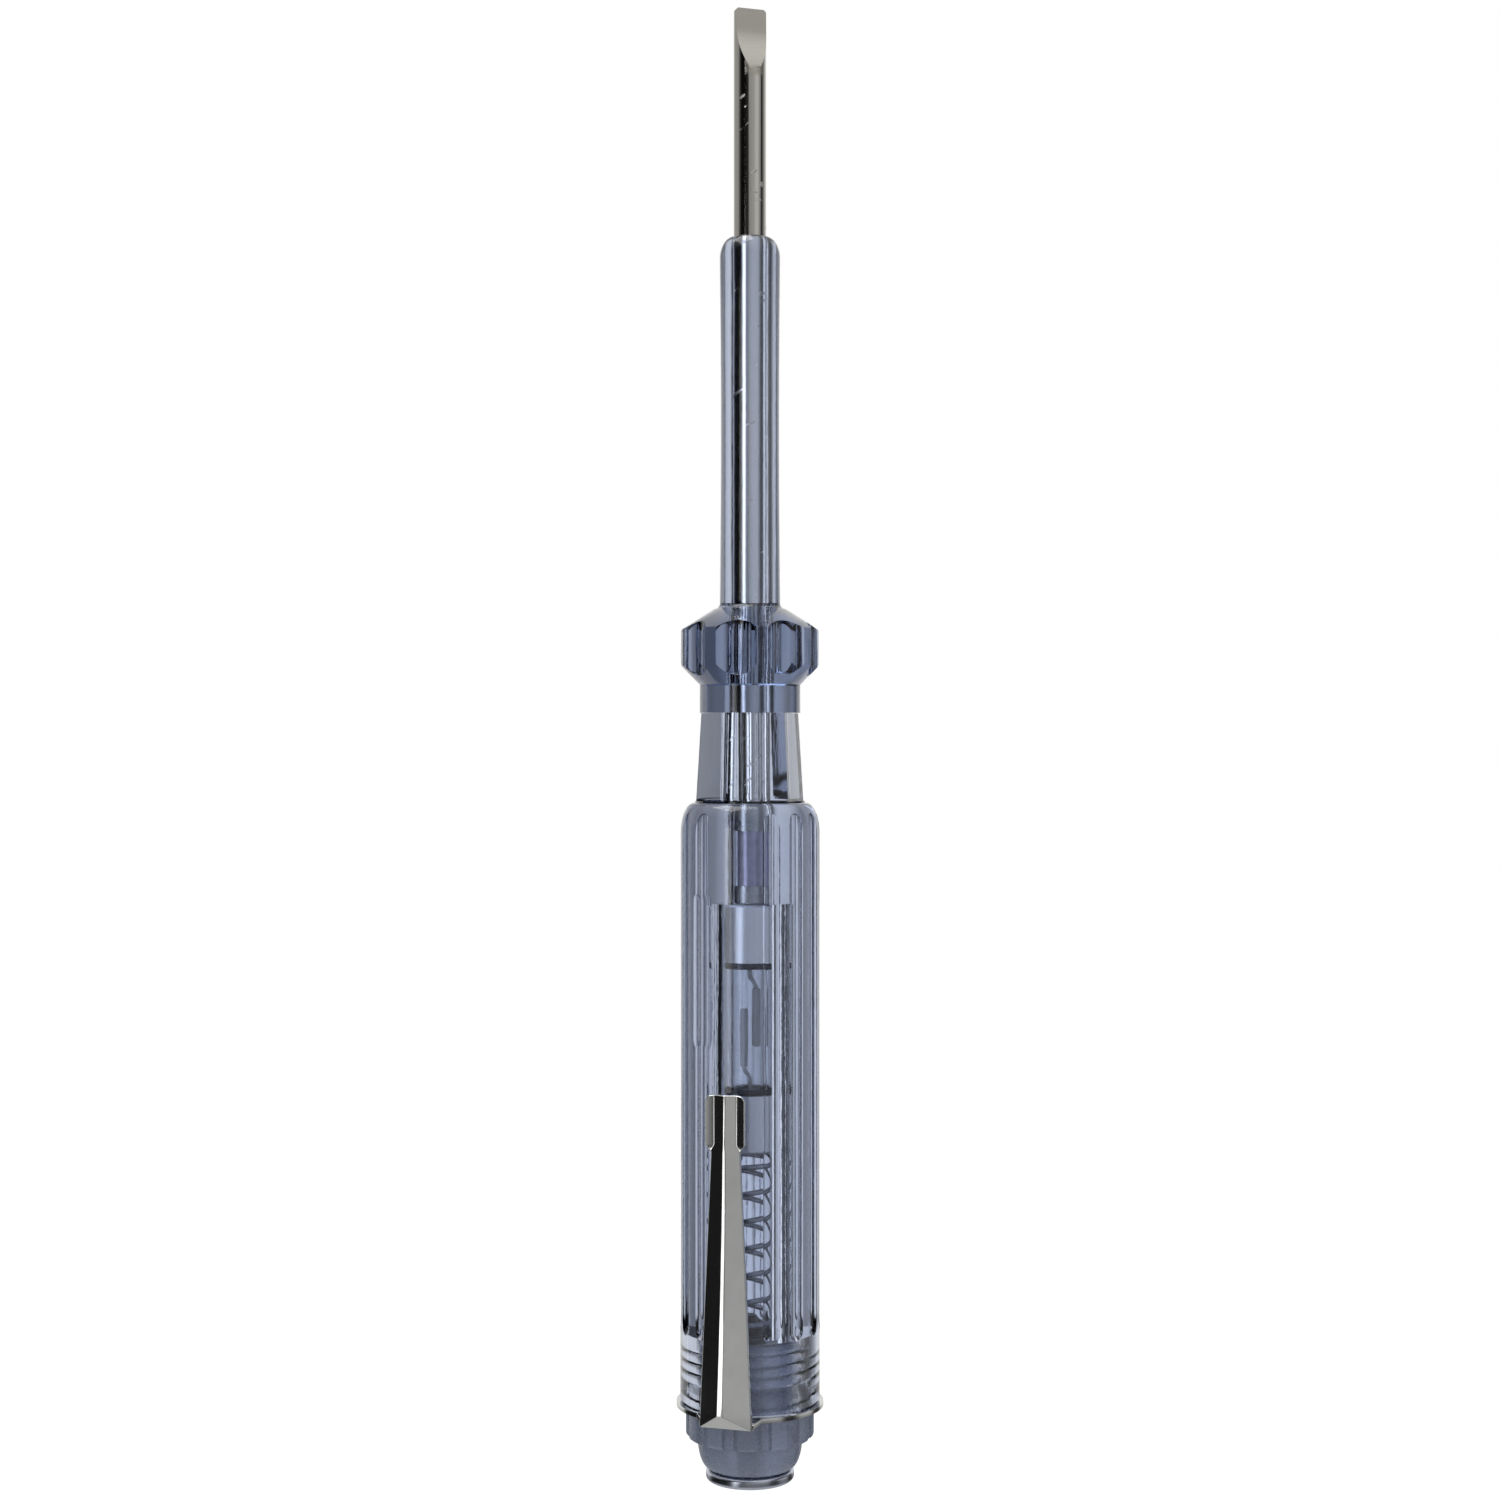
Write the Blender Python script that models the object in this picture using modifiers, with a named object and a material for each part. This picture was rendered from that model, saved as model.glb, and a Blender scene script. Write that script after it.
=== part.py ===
"""Voltage tester screwdriver with a neon lamp, standing on its touch disc.

+Z runs from the touch disc to the blade tip, the origin is the middle of the disc's face, and the
pocket clip faces -Y. Lengths are in metres and angles in degrees. Profiles are lists of (radius,
height), and they run down the outer side of what they turn.
"""
import math

import bmesh
import bpy
from mathutils import Matrix, Vector

NAME = "voltage_tester_screwdriver"

# Clearances
FIT_GAP = 0.0001
SEAT_GAP = 0.0001
THREAD_GAP = 0.00015
CUT_OVERRUN = 0.001
MERGE_DISTANCE = 0.00001

# Fineness of the round pieces
BARREL_STEPS = 56
ROUND_STEPS = 32
SMALL_STEPS = 16
CUTTER_STEPS = 20
ARC_STEPS = 5
SHARP_ANGLE = 32

# Touch contact: a nickel-plated disc with a stem through the cap
DISC_RADIUS = 0.0042
DISC_THICKNESS = 0.0011
DISC_EDGE_RADIUS = 0.0004
STEM_RADIUS = 0.0008

# Screw cap: dome, notched grip flange, collar and plug
DOME_HEIGHT = 0.0029
DOME_INSET = 0.0011
DOME_CURVE = 0.0011
FLANGE_HEIGHT = 0.0029
FLANGE_INSET = 0.00055
FLANGE_EDGE_RADIUS = 0.0005
NOTCH_COUNT = 12
NOTCH_RADIUS = 0.0008
NOTCH_DEPTH = 0.00065
COLLAR_LENGTH = 0.0025
PLUG_LENGTH = 0.0041
COLLAR_RELIEF = 0.0002
PLUG_CHAMFER = 0.0004

# Contact nose on the cap's inner end, which centres the spring
NOSE_BASE_HEIGHT = 0.0005
NOSE_CONE_HEIGHT = 0.0017
NOSE_TIP_RADIUS = 0.0007
NOSE_BORE_DEPTH = 0.0012

# Pocket clip: one stamped sheet, parted at the bend line where its leaf springs
CLIP_SHEET = 0.00045
CLIP_RING_OVERHANG = 0.00035
CLIP_DROP = 0.0005
CLIP_WEB_WIDTH = 0.0064
LEAF_LENGTH = 0.0309
LEAF_STANDOFF = 0.0003
LEAF_FOOT_WIDTH = 0.0051
LEAF_WAIST_WIDTH = 0.0028
LEAF_HEAD_WIDTH = 0.0039
LEAF_GUSSET_HEIGHT = 0.002
LEAF_GUSSET_RISE = 0.00178
LEAF_WAIST_RISE = 0.0005
LEAF_HEAD_RISE = 0.00035
LEAF_HEAD_HEIGHT = 0.0053
LEAF_HEAD_SHOULDER = 0.0007
LEAF_HEAD_CURL = 0.0002
LEAF_RIDGE_WIDTH = 0.0006
LEAF_RISE_STEPS = 6
LEAF_RISE_POWER = 1.7

# Handle: rim, fluted barrel, shoulder and flat-sided neck
BARREL_RADIUS = 0.00665
BARREL_LENGTH = 0.05385
RIM_CHAMFER = 0.0002
SHOULDER_HEIGHT = 0.0029
SHOULDER_RADIUS = 0.0053
NECK_LENGTH = 0.0085
NECK_RADIUS = 0.0048
NECK_FOOT_RADIUS = 0.00525
FLAT_COUNT = 6
FLAT_DEPTH = 0.00055
FLAT_FOOT = 0.0006
FLAT_TURN = 31
PLAIN_RIM_LENGTH = 0.0063
FLUTE_COUNT = 14
FLUTE_WINDOW = 60.5
FLUTE_TURN = 5.5
FLUTE_RADIUS = 0.0012
FLUTE_DEPTH = 0.0004
PANEL_LENGTH = 0.0155
PANEL_WIDTH = 0.0021
PANEL_DEPTH = 0.00042
PANEL_BELOW_SHOULDER = 0.005
LAMP_BORE_RADIUS = 0.0027
THREAD_WALL = 0.0018
PLUG_END_GAP = 0.0004

# Front sleeve: skirt, scalloped collar and blade sheath
SKIRT_LENGTH = 0.0026
RUNOUT_HEIGHT = 0.0018
ROLL_STOP_INSET = 0.00005
ROLL_STOP_HEIGHT = 0.0035
ROLL_STOP_CROWN = 0.0019
SCALLOP_COUNT = 8
SCALLOP_RADIUS = 0.0028
SCALLOP_DEPTH = 0.0011
SCALLOP_TURN = 6
SHEATH_LENGTH = 0.0354
SHEATH_RADIUS = 0.00288
SHEATH_WAIST_RADIUS = 0.00278
SHEATH_FILLET = 0.0006
SHEATH_END_HEIGHT = 0.002

# Blade: plated rod, slot tip and tang
BLADE_RADIUS = 0.00155
BLADE_EXPOSED = 0.0218
TANG_LENGTH = 0.00945
TANG_RIB_COUNT = 12
TANG_RIB_DEPTH = 0.0001
TANG_RIB_LENGTH = 0.0078
TIP_FLAT_LENGTH = 0.0033
TIP_GRIND_LENGTH = 0.0028
TIP_THICKNESS = 0.00055
TIP_ROOT_THICKNESS = 0.0008
TIP_TURN = 37
BLADE_EDGE = 0.00012

# Series resistor with its two ferrules
RESISTOR_LENGTH = 0.0085
RESISTOR_RADIUS = 0.0012
FERRULE_WALL = 0.0002
FERRULE_END = 0.0003
FERRULE_LENGTH = 0.0017

# Neon lamp: glass, caps, cement and electrodes
LAMP_LENGTH = 0.0233
LAMP_CAP_RADIUS = 0.00245
LAMP_CAP_LENGTH = 0.0054
LAMP_CAP_WALL = 0.00025
GLASS_RADIUS = 0.00205
GLASS_WALL = 0.0004
GLASS_END = 0.0009
CEMENT_HEIGHT = 0.0005
LEAD_RADIUS = 0.0002
ELECTRODE_RADIUS = 0.0004
ELECTRODE_OFFSET = 0.0006
ELECTRODE_LENGTH = 0.0055
ELECTRODE_OVERLAP = 0.0035

# Contact spring
SPRING_RADIUS = 0.00225
SPRING_WIRE_RADIUS = 0.00025
SPRING_TURNS = 5.75
SPRING_END_TURNS = 1
SPRING_END_PITCH = 0.00095
SPRING_POINTS_PER_TURN = 10

# Heights, from the touch disc's face upwards
CAP_Z = DISC_THICKNESS + SEAT_GAP
FLANGE_TOP_Z = CAP_Z + DOME_HEIGHT + FLANGE_HEIGHT
CLIP_Z = FLANGE_TOP_Z + SEAT_GAP
HANDLE_Z = CLIP_Z + CLIP_SHEET + SEAT_GAP
PLUG_TOP_Z = FLANGE_TOP_Z + COLLAR_LENGTH + PLUG_LENGTH
NOSE_Z = PLUG_TOP_Z + SEAT_GAP
SPRING_SEAT_Z = NOSE_Z + NOSE_BASE_HEIGHT
STEM_TOP_Z = NOSE_Z + NOSE_BORE_DEPTH - SEAT_GAP
SHOULDER_Z = HANDLE_Z + BARREL_LENGTH
NECK_Z = SHOULDER_Z + SHOULDER_HEIGHT
SLEEVE_Z = NECK_Z + NECK_LENGTH + SEAT_GAP
SHEATH_Z = SLEEVE_Z + SKIRT_LENGTH + RUNOUT_HEIGHT + ROLL_STOP_HEIGHT + ROLL_STOP_CROWN
SLEEVE_TOP_Z = SHEATH_Z + SHEATH_LENGTH
TANG_Z = NECK_Z + NECK_LENGTH - TANG_LENGTH
RESISTOR_Z = TANG_Z - SEAT_GAP - RESISTOR_LENGTH
LAMP_Z = RESISTOR_Z - SEAT_GAP - LAMP_LENGTH
LAMP_TOP_Z = LAMP_Z + LAMP_LENGTH

# Radii that follow the barrel, and what passes through
FLANGE_RADIUS = BARREL_RADIUS - FLANGE_INSET
DOME_RADIUS = FLANGE_RADIUS - DOME_INSET
DOME_FOOT_RADIUS = DOME_RADIUS - DOME_CURVE
CLIP_RING_RADIUS = BARREL_RADIUS + CLIP_RING_OVERHANG
ROLL_STOP_RADIUS = BARREL_RADIUS - ROLL_STOP_INSET
SKIRT_RADIUS = NECK_RADIUS
BLADE_BORE_RADIUS = BLADE_RADIUS + FIT_GAP
FERRULE_RADIUS = RESISTOR_RADIUS + FIT_GAP + FERRULE_WALL
PLUG_BORE_RADIUS = BARREL_RADIUS - THREAD_WALL
PLUG_RADIUS = PLUG_BORE_RADIUS - THREAD_GAP
CLIP_RING_HOLE_RADIUS = PLUG_BORE_RADIUS
STEM_BORE_RADIUS = STEM_RADIUS + FIT_GAP
NOSE_RADIUS = SPRING_RADIUS + SPRING_WIRE_RADIUS
NOSE_CONE_RADIUS = SPRING_RADIUS - SPRING_WIRE_RADIUS - FIT_GAP

# The ring's web drops outside the cap's flange to the leaf's foot, where the leaf bends
WEB_Y = FLANGE_RADIUS + FIT_GAP
LEAF_Y = BARREL_RADIUS + LEAF_STANDOFF
LEAF_Z = CLIP_Z - CLIP_DROP
FLEX_AXIS = Vector((0, -LEAF_Y, LEAF_Z))


def clear_scene():
    """Removes every object, so that the script can be run again."""
    for item in list(bpy.data.objects):
        bpy.data.objects.remove(item, do_unlink=True)
    for group in list(bpy.data.collections):
        bpy.data.collections.remove(group)


def new_collection(name):
    """A collection under the scene's own."""
    group = bpy.data.collections.new(name)
    bpy.context.scene.collection.children.link(group)
    return group


def surface(name, color, metallic, roughness, transmission=0.0, ior=1.45):
    """One Principled material; color is linear red, green and blue."""
    made = bpy.data.materials.new(name)
    made.use_nodes = True
    shader = made.node_tree.nodes["Principled BSDF"]
    shader.inputs["Base Color"].default_value = (*color, 1.0)
    shader.inputs["Metallic"].default_value = metallic
    shader.inputs["Roughness"].default_value = roughness
    shader.inputs["Transmission Weight"].default_value = transmission
    shader.inputs["IOR"].default_value = ior
    return made


def smoky_plastic(name):
    """Clear blue-grey acetate."""
    return surface(name, (0.42, 0.47, 0.58), 0.0, 0.06, transmission=0.9, ior=1.48)


def nickel(name):
    """Bright nickel plate."""
    return surface(name, (0.66, 0.65, 0.62), 1.0, 0.18)


def chrome(name):
    """Polished chrome plate."""
    return surface(name, (0.6, 0.6, 0.6), 1.0, 0.1)


def brass(name):
    """Turned brass."""
    return surface(name, (0.58, 0.42, 0.18), 1.0, 0.3)


def spring_steel(name):
    """Drawn steel wire."""
    return surface(name, (0.35, 0.35, 0.36), 1.0, 0.25)


def clear_glass(name):
    """Thin lamp glass."""
    return surface(name, (0.9, 0.92, 0.95), 0.0, 0.03, transmission=0.95, ior=1.5)


def cement(name):
    """Dark basing cement."""
    return surface(name, (0.05, 0.05, 0.06), 0.0, 0.7)


def carbon_rod(name):
    """Lacquered resistor rod."""
    return surface(name, (0.2, 0.16, 0.2), 0.0, 0.5)


def place(item, group, material=None, parent=None, location=(0, 0, 0)):
    """Links an object to its collection, gives it its material and puts it under its parent."""
    group.objects.link(item)
    item.location = location
    if parent is not None:
        item.parent = parent
    if material is not None:
        item.data.materials.append(material)
    return item


def guide(item):
    """Marks a cutter: drawn as wire and never rendered."""
    item.display_type = "WIRE"
    item.hide_render = True
    return item


def arc(centre, radii, start, end, steps=ARC_STEPS):
    """Points of an ellipse round centre (radius, height), from one angle to another."""
    points = []
    for i in range(steps + 1):
        angle = math.radians(start + (end - start) * i / steps)
        points.append((centre[0] + radii[0] * math.cos(angle), centre[1] + radii[1] * math.sin(angle)))
    return points


def turned(name, profile, steps=ROUND_STEPS, closed=False):
    """A solid of revolution about Z. A closed profile leaves a bore along the axis."""
    mesh = bpy.data.meshes.new(name)
    shape = bmesh.new()
    points = [shape.verts.new((radius, 0, height)) for radius, height in profile]
    for first, second in zip(points, points[1:]):
        shape.edges.new((first, second))
    if closed:
        shape.edges.new((points[-1], points[0]))
    shape.to_mesh(mesh)
    shape.free()
    item = bpy.data.objects.new(name, mesh)
    turn = item.modifiers.new("Turn", "SCREW")
    turn.axis = "Z"
    turn.steps = steps
    turn.render_steps = steps
    turn.use_merge_vertices = True
    turn.merge_threshold = MERGE_DISTANCE
    return item


def baked(item):
    """The object's evaluated mesh, as a new mesh."""
    bpy.context.view_layer.update()
    seen = item.evaluated_get(bpy.context.evaluated_depsgraph_get())
    return bpy.data.meshes.new_from_object(seen)


def finish(item):
    """Applies the modifiers and shades the piece smooth between its sharp edges."""
    mesh = baked(item)
    item.modifiers.clear()
    item.data = mesh
    mesh.shade_smooth()
    mesh.set_sharp_from_angle(angle=math.radians(SHARP_ANGLE))
    return item


def cut(item, cutter):
    """Takes the cutter's shape out of the object."""
    step = item.modifiers.new("Cut", "BOOLEAN")
    step.operation = "DIFFERENCE"
    step.solver = "EXACT"
    step.object = cutter


def around(name, shape, group, angles, radius, lean=0):
    """One cutter with a copy of the shape at each angle from -Y, radius away from the axis."""
    pattern = baked(shape)
    bpy.data.objects.remove(shape)
    mesh = bpy.data.meshes.new(name)
    whole = bmesh.new()
    for angle in angles:
        copy = pattern.copy()
        out = Matrix.Translation((0, -radius, 0))
        tilt = Matrix.Rotation(math.radians(lean), 4, "X")
        copy.transform(Matrix.Rotation(math.radians(angle), 4, "Z") @ out @ tilt)
        whole.from_mesh(copy)
        bpy.data.meshes.remove(copy)
    whole.to_mesh(mesh)
    whole.free()
    bpy.data.meshes.remove(pattern)
    return guide(place(bpy.data.objects.new(name, mesh), group))


def block(name, size, middle, group):
    """A box as a mesh object, about its middle."""
    mesh = bpy.data.meshes.new(name)
    shape = bmesh.new()
    bmesh.ops.create_cube(shape, size=1)
    shape.transform(Matrix.Translation(middle) @ Matrix.Diagonal((*size, 1)))
    shape.to_mesh(mesh)
    shape.free()
    return place(bpy.data.objects.new(name, mesh), group)


def round_bar(name, radius, bottom, top, group, dome=0.0):
    """An upright bar whose ends are domed by the given height."""
    profile = arc((0, top - dome), (radius, dome), 90, 0) if dome else [(0, top), (radius, top)]
    profile += arc((0, bottom + dome), (radius, dome), 0, -90) if dome else [(radius, bottom), (0, bottom)]
    return place(turned(name, profile, CUTTER_STEPS), group)


def empty(name, location, group, parent=None):
    """An empty on a joint's axis."""
    return place(bpy.data.objects.new(name, None), group, parent=parent, location=location)


def evenly(count, turn=0.0):
    """Angles of a full ring of features."""
    return [turn + 360 * i / count for i in range(count)]


def make_touch_contact(parts, parent):
    """Disc with a rounded rim, one piece with its stem."""
    edge = DISC_EDGE_RADIUS
    top = DISC_THICKNESS
    profile = [(0, STEM_TOP_Z), (STEM_RADIUS, STEM_TOP_Z), (STEM_RADIUS, top)]
    profile += arc((DISC_RADIUS - edge, top - edge), (edge, edge), 90, 0, 3)
    profile += arc((DISC_RADIUS - edge, edge), (edge, edge), 0, -90, 3)
    profile += [(0, 0)]
    return finish(place(turned("touch_contact", profile), parts, nickel("nickel_plate"), parent))


def make_screw_cap(parts, cutters, parent):
    """Plug, collar, notched flange and dome, bored for the contact's stem."""
    flange_foot = DOME_HEIGHT
    flange_top = flange_foot + FLANGE_HEIGHT
    plug_foot = flange_top + COLLAR_LENGTH
    top = plug_foot + PLUG_LENGTH
    collar = PLUG_RADIUS - COLLAR_RELIEF
    edge = FLANGE_EDGE_RADIUS
    profile = [(STEM_BORE_RADIUS, top), (PLUG_RADIUS - PLUG_CHAMFER, top)]
    profile += [(PLUG_RADIUS, top - PLUG_CHAMFER), (PLUG_RADIUS, plug_foot), (collar, plug_foot)]
    profile += [(collar, flange_top), (FLANGE_RADIUS, flange_top)]
    profile += arc((FLANGE_RADIUS - edge, flange_foot + edge), (edge, edge), 0, -90, 3)
    profile += [(DOME_RADIUS, flange_foot)]
    profile += arc((DOME_FOOT_RADIUS, flange_foot), (DOME_RADIUS - DOME_FOOT_RADIUS, DOME_HEIGHT), -15, -90)
    profile += [(STEM_BORE_RADIUS, 0)]
    body = turned("screw_cap", profile, BARREL_STEPS, closed=True)
    cap = place(body, parts, smoky_plastic("cap_plastic"), parent)
    bar = round_bar("notch", NOTCH_RADIUS, flange_foot - CUT_OVERRUN, flange_top + CUT_OVERRUN, cutters)
    centre = FLANGE_RADIUS + NOTCH_RADIUS - NOTCH_DEPTH
    cut(cap, around("notch_cutter", bar, cutters, evenly(NOTCH_COUNT), centre))
    finish(cap)
    cap.location = (0, 0, CAP_Z)
    return cap


def make_contact_nose(parts, parent):
    """Coned nose pressed on the stem's end, whose base carries the spring."""
    top = NOSE_BASE_HEIGHT + NOSE_CONE_HEIGHT
    profile = [(0, top), (NOSE_TIP_RADIUS, top), (NOSE_CONE_RADIUS, NOSE_BASE_HEIGHT)]
    profile += [(NOSE_RADIUS, NOSE_BASE_HEIGHT), (NOSE_RADIUS, 0), (STEM_BORE_RADIUS, 0)]
    profile += [(STEM_BORE_RADIUS, NOSE_BORE_DEPTH), (0, NOSE_BORE_DEPTH)]
    nose = turned("contact_nose", profile)
    return finish(place(nose, parts, brass("nose_brass"), parent, (0, 0, NOSE_Z)))


def spring_points(bottom, top):
    """The coil's centre line: closed end turns and evenly pitched turns between them."""
    turns = SPRING_TURNS + 2 * SPRING_END_TURNS
    pitch = (top - bottom - 2 * SPRING_END_TURNS * SPRING_END_PITCH) / SPRING_TURNS
    points = []
    count = round(turns * SPRING_POINTS_PER_TURN)
    for i in range(count + 1):
        turn = turns * i / count
        low = min(turn, SPRING_END_TURNS)
        high = max(0, turn - SPRING_END_TURNS - SPRING_TURNS)
        middle = turn - low - high
        angle = math.tau * turn
        height = bottom + (low + high) * SPRING_END_PITCH + middle * pitch
        points.append(Vector((SPRING_RADIUS * math.cos(angle), SPRING_RADIUS * math.sin(angle), height)))
    return points


def least_gap(points, wire_radius, skip):
    """The smallest distance between the wire's surface and itself, leaving out its near neighbours."""
    nearest = min(
        (first - second).length
        for i, first in enumerate(points)
        for second in points[i + skip:]
    )
    return nearest - 2 * wire_radius


def make_contact_spring(parts, parent):
    """One unbroken wire between the contact nose and the lamp."""
    bottom = SPRING_SEAT_Z + SEAT_GAP + SPRING_WIRE_RADIUS
    top = LAMP_Z - SEAT_GAP - SPRING_WIRE_RADIUS
    points = spring_points(bottom, top)
    gap = least_gap(points, SPRING_WIRE_RADIUS, SPRING_POINTS_PER_TURN // 2)
    print(f"contact spring: {SPRING_TURNS + 2 * SPRING_END_TURNS} turns, least gap {gap * 1000:.2f} mm")
    radii = [SPRING_WIRE_RADIUS] * len(points)
    steel = spring_steel("spring_wire")
    return make_wire("contact_spring", points, radii, parts, parent, steel, resolution=1)


def make_wire(name, points, radii, parts, parent, material, resolution=2):
    """A tube along the points, with closed ends, as a mesh."""
    data = bpy.data.curves.new(name, "CURVE")
    data.dimensions = "3D"
    data.bevel_depth = max(radii)
    data.bevel_resolution = resolution
    data.use_fill_caps = True
    line = data.splines.new("POLY")
    line.points.add(len(points) - 1)
    for place_on_line, at, radius in zip(line.points, points, radii):
        place_on_line.co = (*at, 1)
        place_on_line.radius = radius / data.bevel_depth
    route = place(bpy.data.objects.new(name + "_route", data), parts)
    mesh = baked(route)
    bpy.data.objects.remove(route)
    shape = bmesh.new()
    shape.from_mesh(mesh)
    bmesh.ops.remove_doubles(shape, verts=shape.verts, dist=MERGE_DISTANCE)
    shape.to_mesh(mesh)
    shape.free()
    mesh.materials.clear()
    return finish(place(bpy.data.objects.new(name, mesh), parts, material, parent))


def thicken(shape, offset):
    """Turns an open sheet into a closed one by pushing a copy of it along offset."""
    top = bmesh.ops.extrude_face_region(shape, geom=shape.faces[:])["geom"]
    bmesh.ops.translate(shape, verts=[v for v in top if isinstance(v, bmesh.types.BMVert)], vec=offset)
    bmesh.ops.recalc_face_normals(shape, faces=shape.faces)


def make_clip_ring(parts, cutters, parent):
    """Flat ring between handle and cap, with a web that drops to the leaf's bend line."""
    half = CLIP_WEB_WIDTH / 2
    opening = math.asin(half / CLIP_RING_RADIUS)
    foot = LEAF_Y - SEAT_GAP
    mesh = bpy.data.meshes.new("clip_ring")
    shape = bmesh.new()
    rim = []
    for i in range(BARREL_STEPS + 1):
        angle = opening + (math.tau - 2 * opening) * i / BARREL_STEPS
        x, y = CLIP_RING_RADIUS * math.sin(angle), -CLIP_RING_RADIUS * math.cos(angle)
        rim.append(shape.verts.new((x, y, 0)))
    corners = [shape.verts.new((side * half, -WEB_Y, 0)) for side in (-1, 1)]
    ends = [shape.verts.new((side * LEAF_FOOT_WIDTH / 2, -foot, -CLIP_DROP)) for side in (-1, 1)]
    shape.faces.new(rim + corners)
    shape.faces.new([corners[0], ends[0], ends[1], corners[1]])
    thicken(shape, (0, 0, CLIP_SHEET))
    shape.to_mesh(mesh)
    shape.free()
    ring = place(bpy.data.objects.new("clip_ring", mesh), parts, nickel("clip_plate"), parent)
    over = CUT_OVERRUN
    drill = round_bar("ring_hole_cutter", CLIP_RING_HOLE_RADIUS, -over, CLIP_SHEET + over, cutters)
    cut(ring, guide(drill))
    finish(ring)
    ring.location = (0, 0, CLIP_Z)
    return ring


def leaf_stations():
    """(height, half width, ridge rise) up the leaf, from the top of its gusset to its tip."""
    waist = LEAF_LENGTH - LEAF_HEAD_HEIGHT
    foot_half = LEAF_FOOT_WIDTH / 2
    waist_half = LEAF_WAIST_WIDTH / 2
    stations = []
    for i in range(LEAF_RISE_STEPS + 1):
        share = i / LEAF_RISE_STEPS
        height = LEAF_GUSSET_HEIGHT + (waist - LEAF_GUSSET_HEIGHT) * share
        half = foot_half + (waist_half - foot_half) * height / waist
        rise = LEAF_WAIST_RISE + (LEAF_GUSSET_RISE - LEAF_WAIST_RISE) * (1 - share) ** LEAF_RISE_POWER
        stations.append((height, half, rise))
    stations.append((waist + LEAF_HEAD_SHOULDER, waist_half, LEAF_WAIST_RISE))
    stations.append((LEAF_LENGTH, waist_half, LEAF_HEAD_RISE))
    return stations


def make_clip_leaf(parts, parent):
    """Tapered leaf, its ridge running out in a gusset at the foot, and a wider head with curled sides."""
    mesh = bpy.data.meshes.new("clip_leaf")
    shape = bmesh.new()
    ridge = LEAF_RIDGE_WIDTH / 2
    rows = []
    for height, half, rise in leaf_stations():
        across = ((-half, 0), (-ridge, rise), (ridge, rise), (half, 0))
        rows.append([shape.verts.new((x, -out, height)) for x, out in across])
    for lower, upper in zip(rows, rows[1:]):
        for i in range(len(lower) - 1):
            shape.faces.new((lower[i], lower[i + 1], upper[i + 1], upper[i]))
    foot = [shape.verts.new((side * LEAF_FOOT_WIDTH / 2, 0, 0)) for side in (-1, 1)]
    shape.faces.new((foot[0], foot[1], rows[0][2], rows[0][1]))
    shape.faces.new((foot[0], rows[0][1], rows[0][0]))
    shape.faces.new((foot[1], rows[0][3], rows[0][2]))
    waist, low, high = rows[-3:]
    for side, edge in ((-1, 0), (1, -1)):
        out = side * LEAF_HEAD_WIDTH / 2
        wing = [shape.verts.new((out, LEAF_HEAD_CURL, row[edge].co.z)) for row in (low, high)]
        shape.faces.new((waist[edge], wing[0], low[edge]))
        shape.faces.new((low[edge], wing[0], wing[1], high[edge]))
    thicken(shape, (0, -CLIP_SHEET, 0))
    shape.to_mesh(mesh)
    shape.free()
    return finish(place(bpy.data.objects.new("clip_leaf", mesh), parts, nickel("leaf_plate"), parent))


def flute_angles():
    """Angles of the barrel's flutes, which leave a plain window at the clip."""
    span = 360 - FLUTE_WINDOW
    first = FLUTE_TURN + FLUTE_WINDOW / 2
    return [first + span * i / (FLUTE_COUNT - 1) for i in range(FLUTE_COUNT)]


def make_handle(parts, cutters):
    """Fluted barrel, shoulder and flat-sided neck, bored for the lamp, the resistor and the tang."""
    plug_seat = PLUG_TOP_Z + PLUG_END_GAP - HANDLE_Z
    step = LAMP_TOP_Z + SEAT_GAP - HANDLE_Z
    shoulder = SHOULDER_Z - HANDLE_Z
    neck = NECK_Z - HANDLE_Z
    top = neck + NECK_LENGTH
    front_bore = max(BLADE_BORE_RADIUS, FERRULE_RADIUS + FIT_GAP)
    profile = [(front_bore, top), (NECK_RADIUS, top), (NECK_FOOT_RADIUS, neck)]
    profile += arc((SHOULDER_RADIUS, shoulder), (BARREL_RADIUS - SHOULDER_RADIUS, SHOULDER_HEIGHT), 80, 0)
    profile += [(BARREL_RADIUS, RIM_CHAMFER), (BARREL_RADIUS - RIM_CHAMFER, 0), (PLUG_BORE_RADIUS, 0)]
    profile += [(PLUG_BORE_RADIUS, plug_seat), (LAMP_BORE_RADIUS, plug_seat)]
    profile += [(LAMP_BORE_RADIUS, step), (front_bore, step)]
    body = turned("handle", profile, BARREL_STEPS, closed=True)
    handle = place(body, parts, smoky_plastic("handle_plastic"))
    bar = round_bar("flute", FLUTE_RADIUS, PLAIN_RIM_LENGTH, neck, cutters, dome=FLUTE_RADIUS)
    centre = BARREL_RADIUS + FLUTE_RADIUS - FLUTE_DEPTH
    cut(handle, around("flute_cutter", bar, cutters, flute_angles(), centre))
    cut(handle, make_flat_cutter(cutters, neck, top))
    cut(handle, make_panel_cutter(cutters, shoulder))
    finish(handle)
    handle.location = (0, 0, HANDLE_Z)
    return handle


def make_flat_cutter(cutters, neck, top):
    """Six leaning blocks that leave flats on the tapered neck."""
    foot = neck + FLAT_FOOT
    height = top - foot + CUT_OVERRUN
    lean = math.degrees(math.atan2(NECK_FOOT_RADIUS - NECK_RADIUS, NECK_LENGTH))
    depth = SHOULDER_RADIUS
    middle = (0, -depth / 2, height / 2)
    slab = block("flat", (NECK_RADIUS * 2, depth, height), middle, cutters)
    inradius = NECK_FOOT_RADIUS - FLAT_DEPTH
    flats = around("flat_cutter", slab, cutters, evenly(FLAT_COUNT, FLAT_TURN), inradius, -lean)
    flats.location = (0, 0, foot)
    return flats


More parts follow.
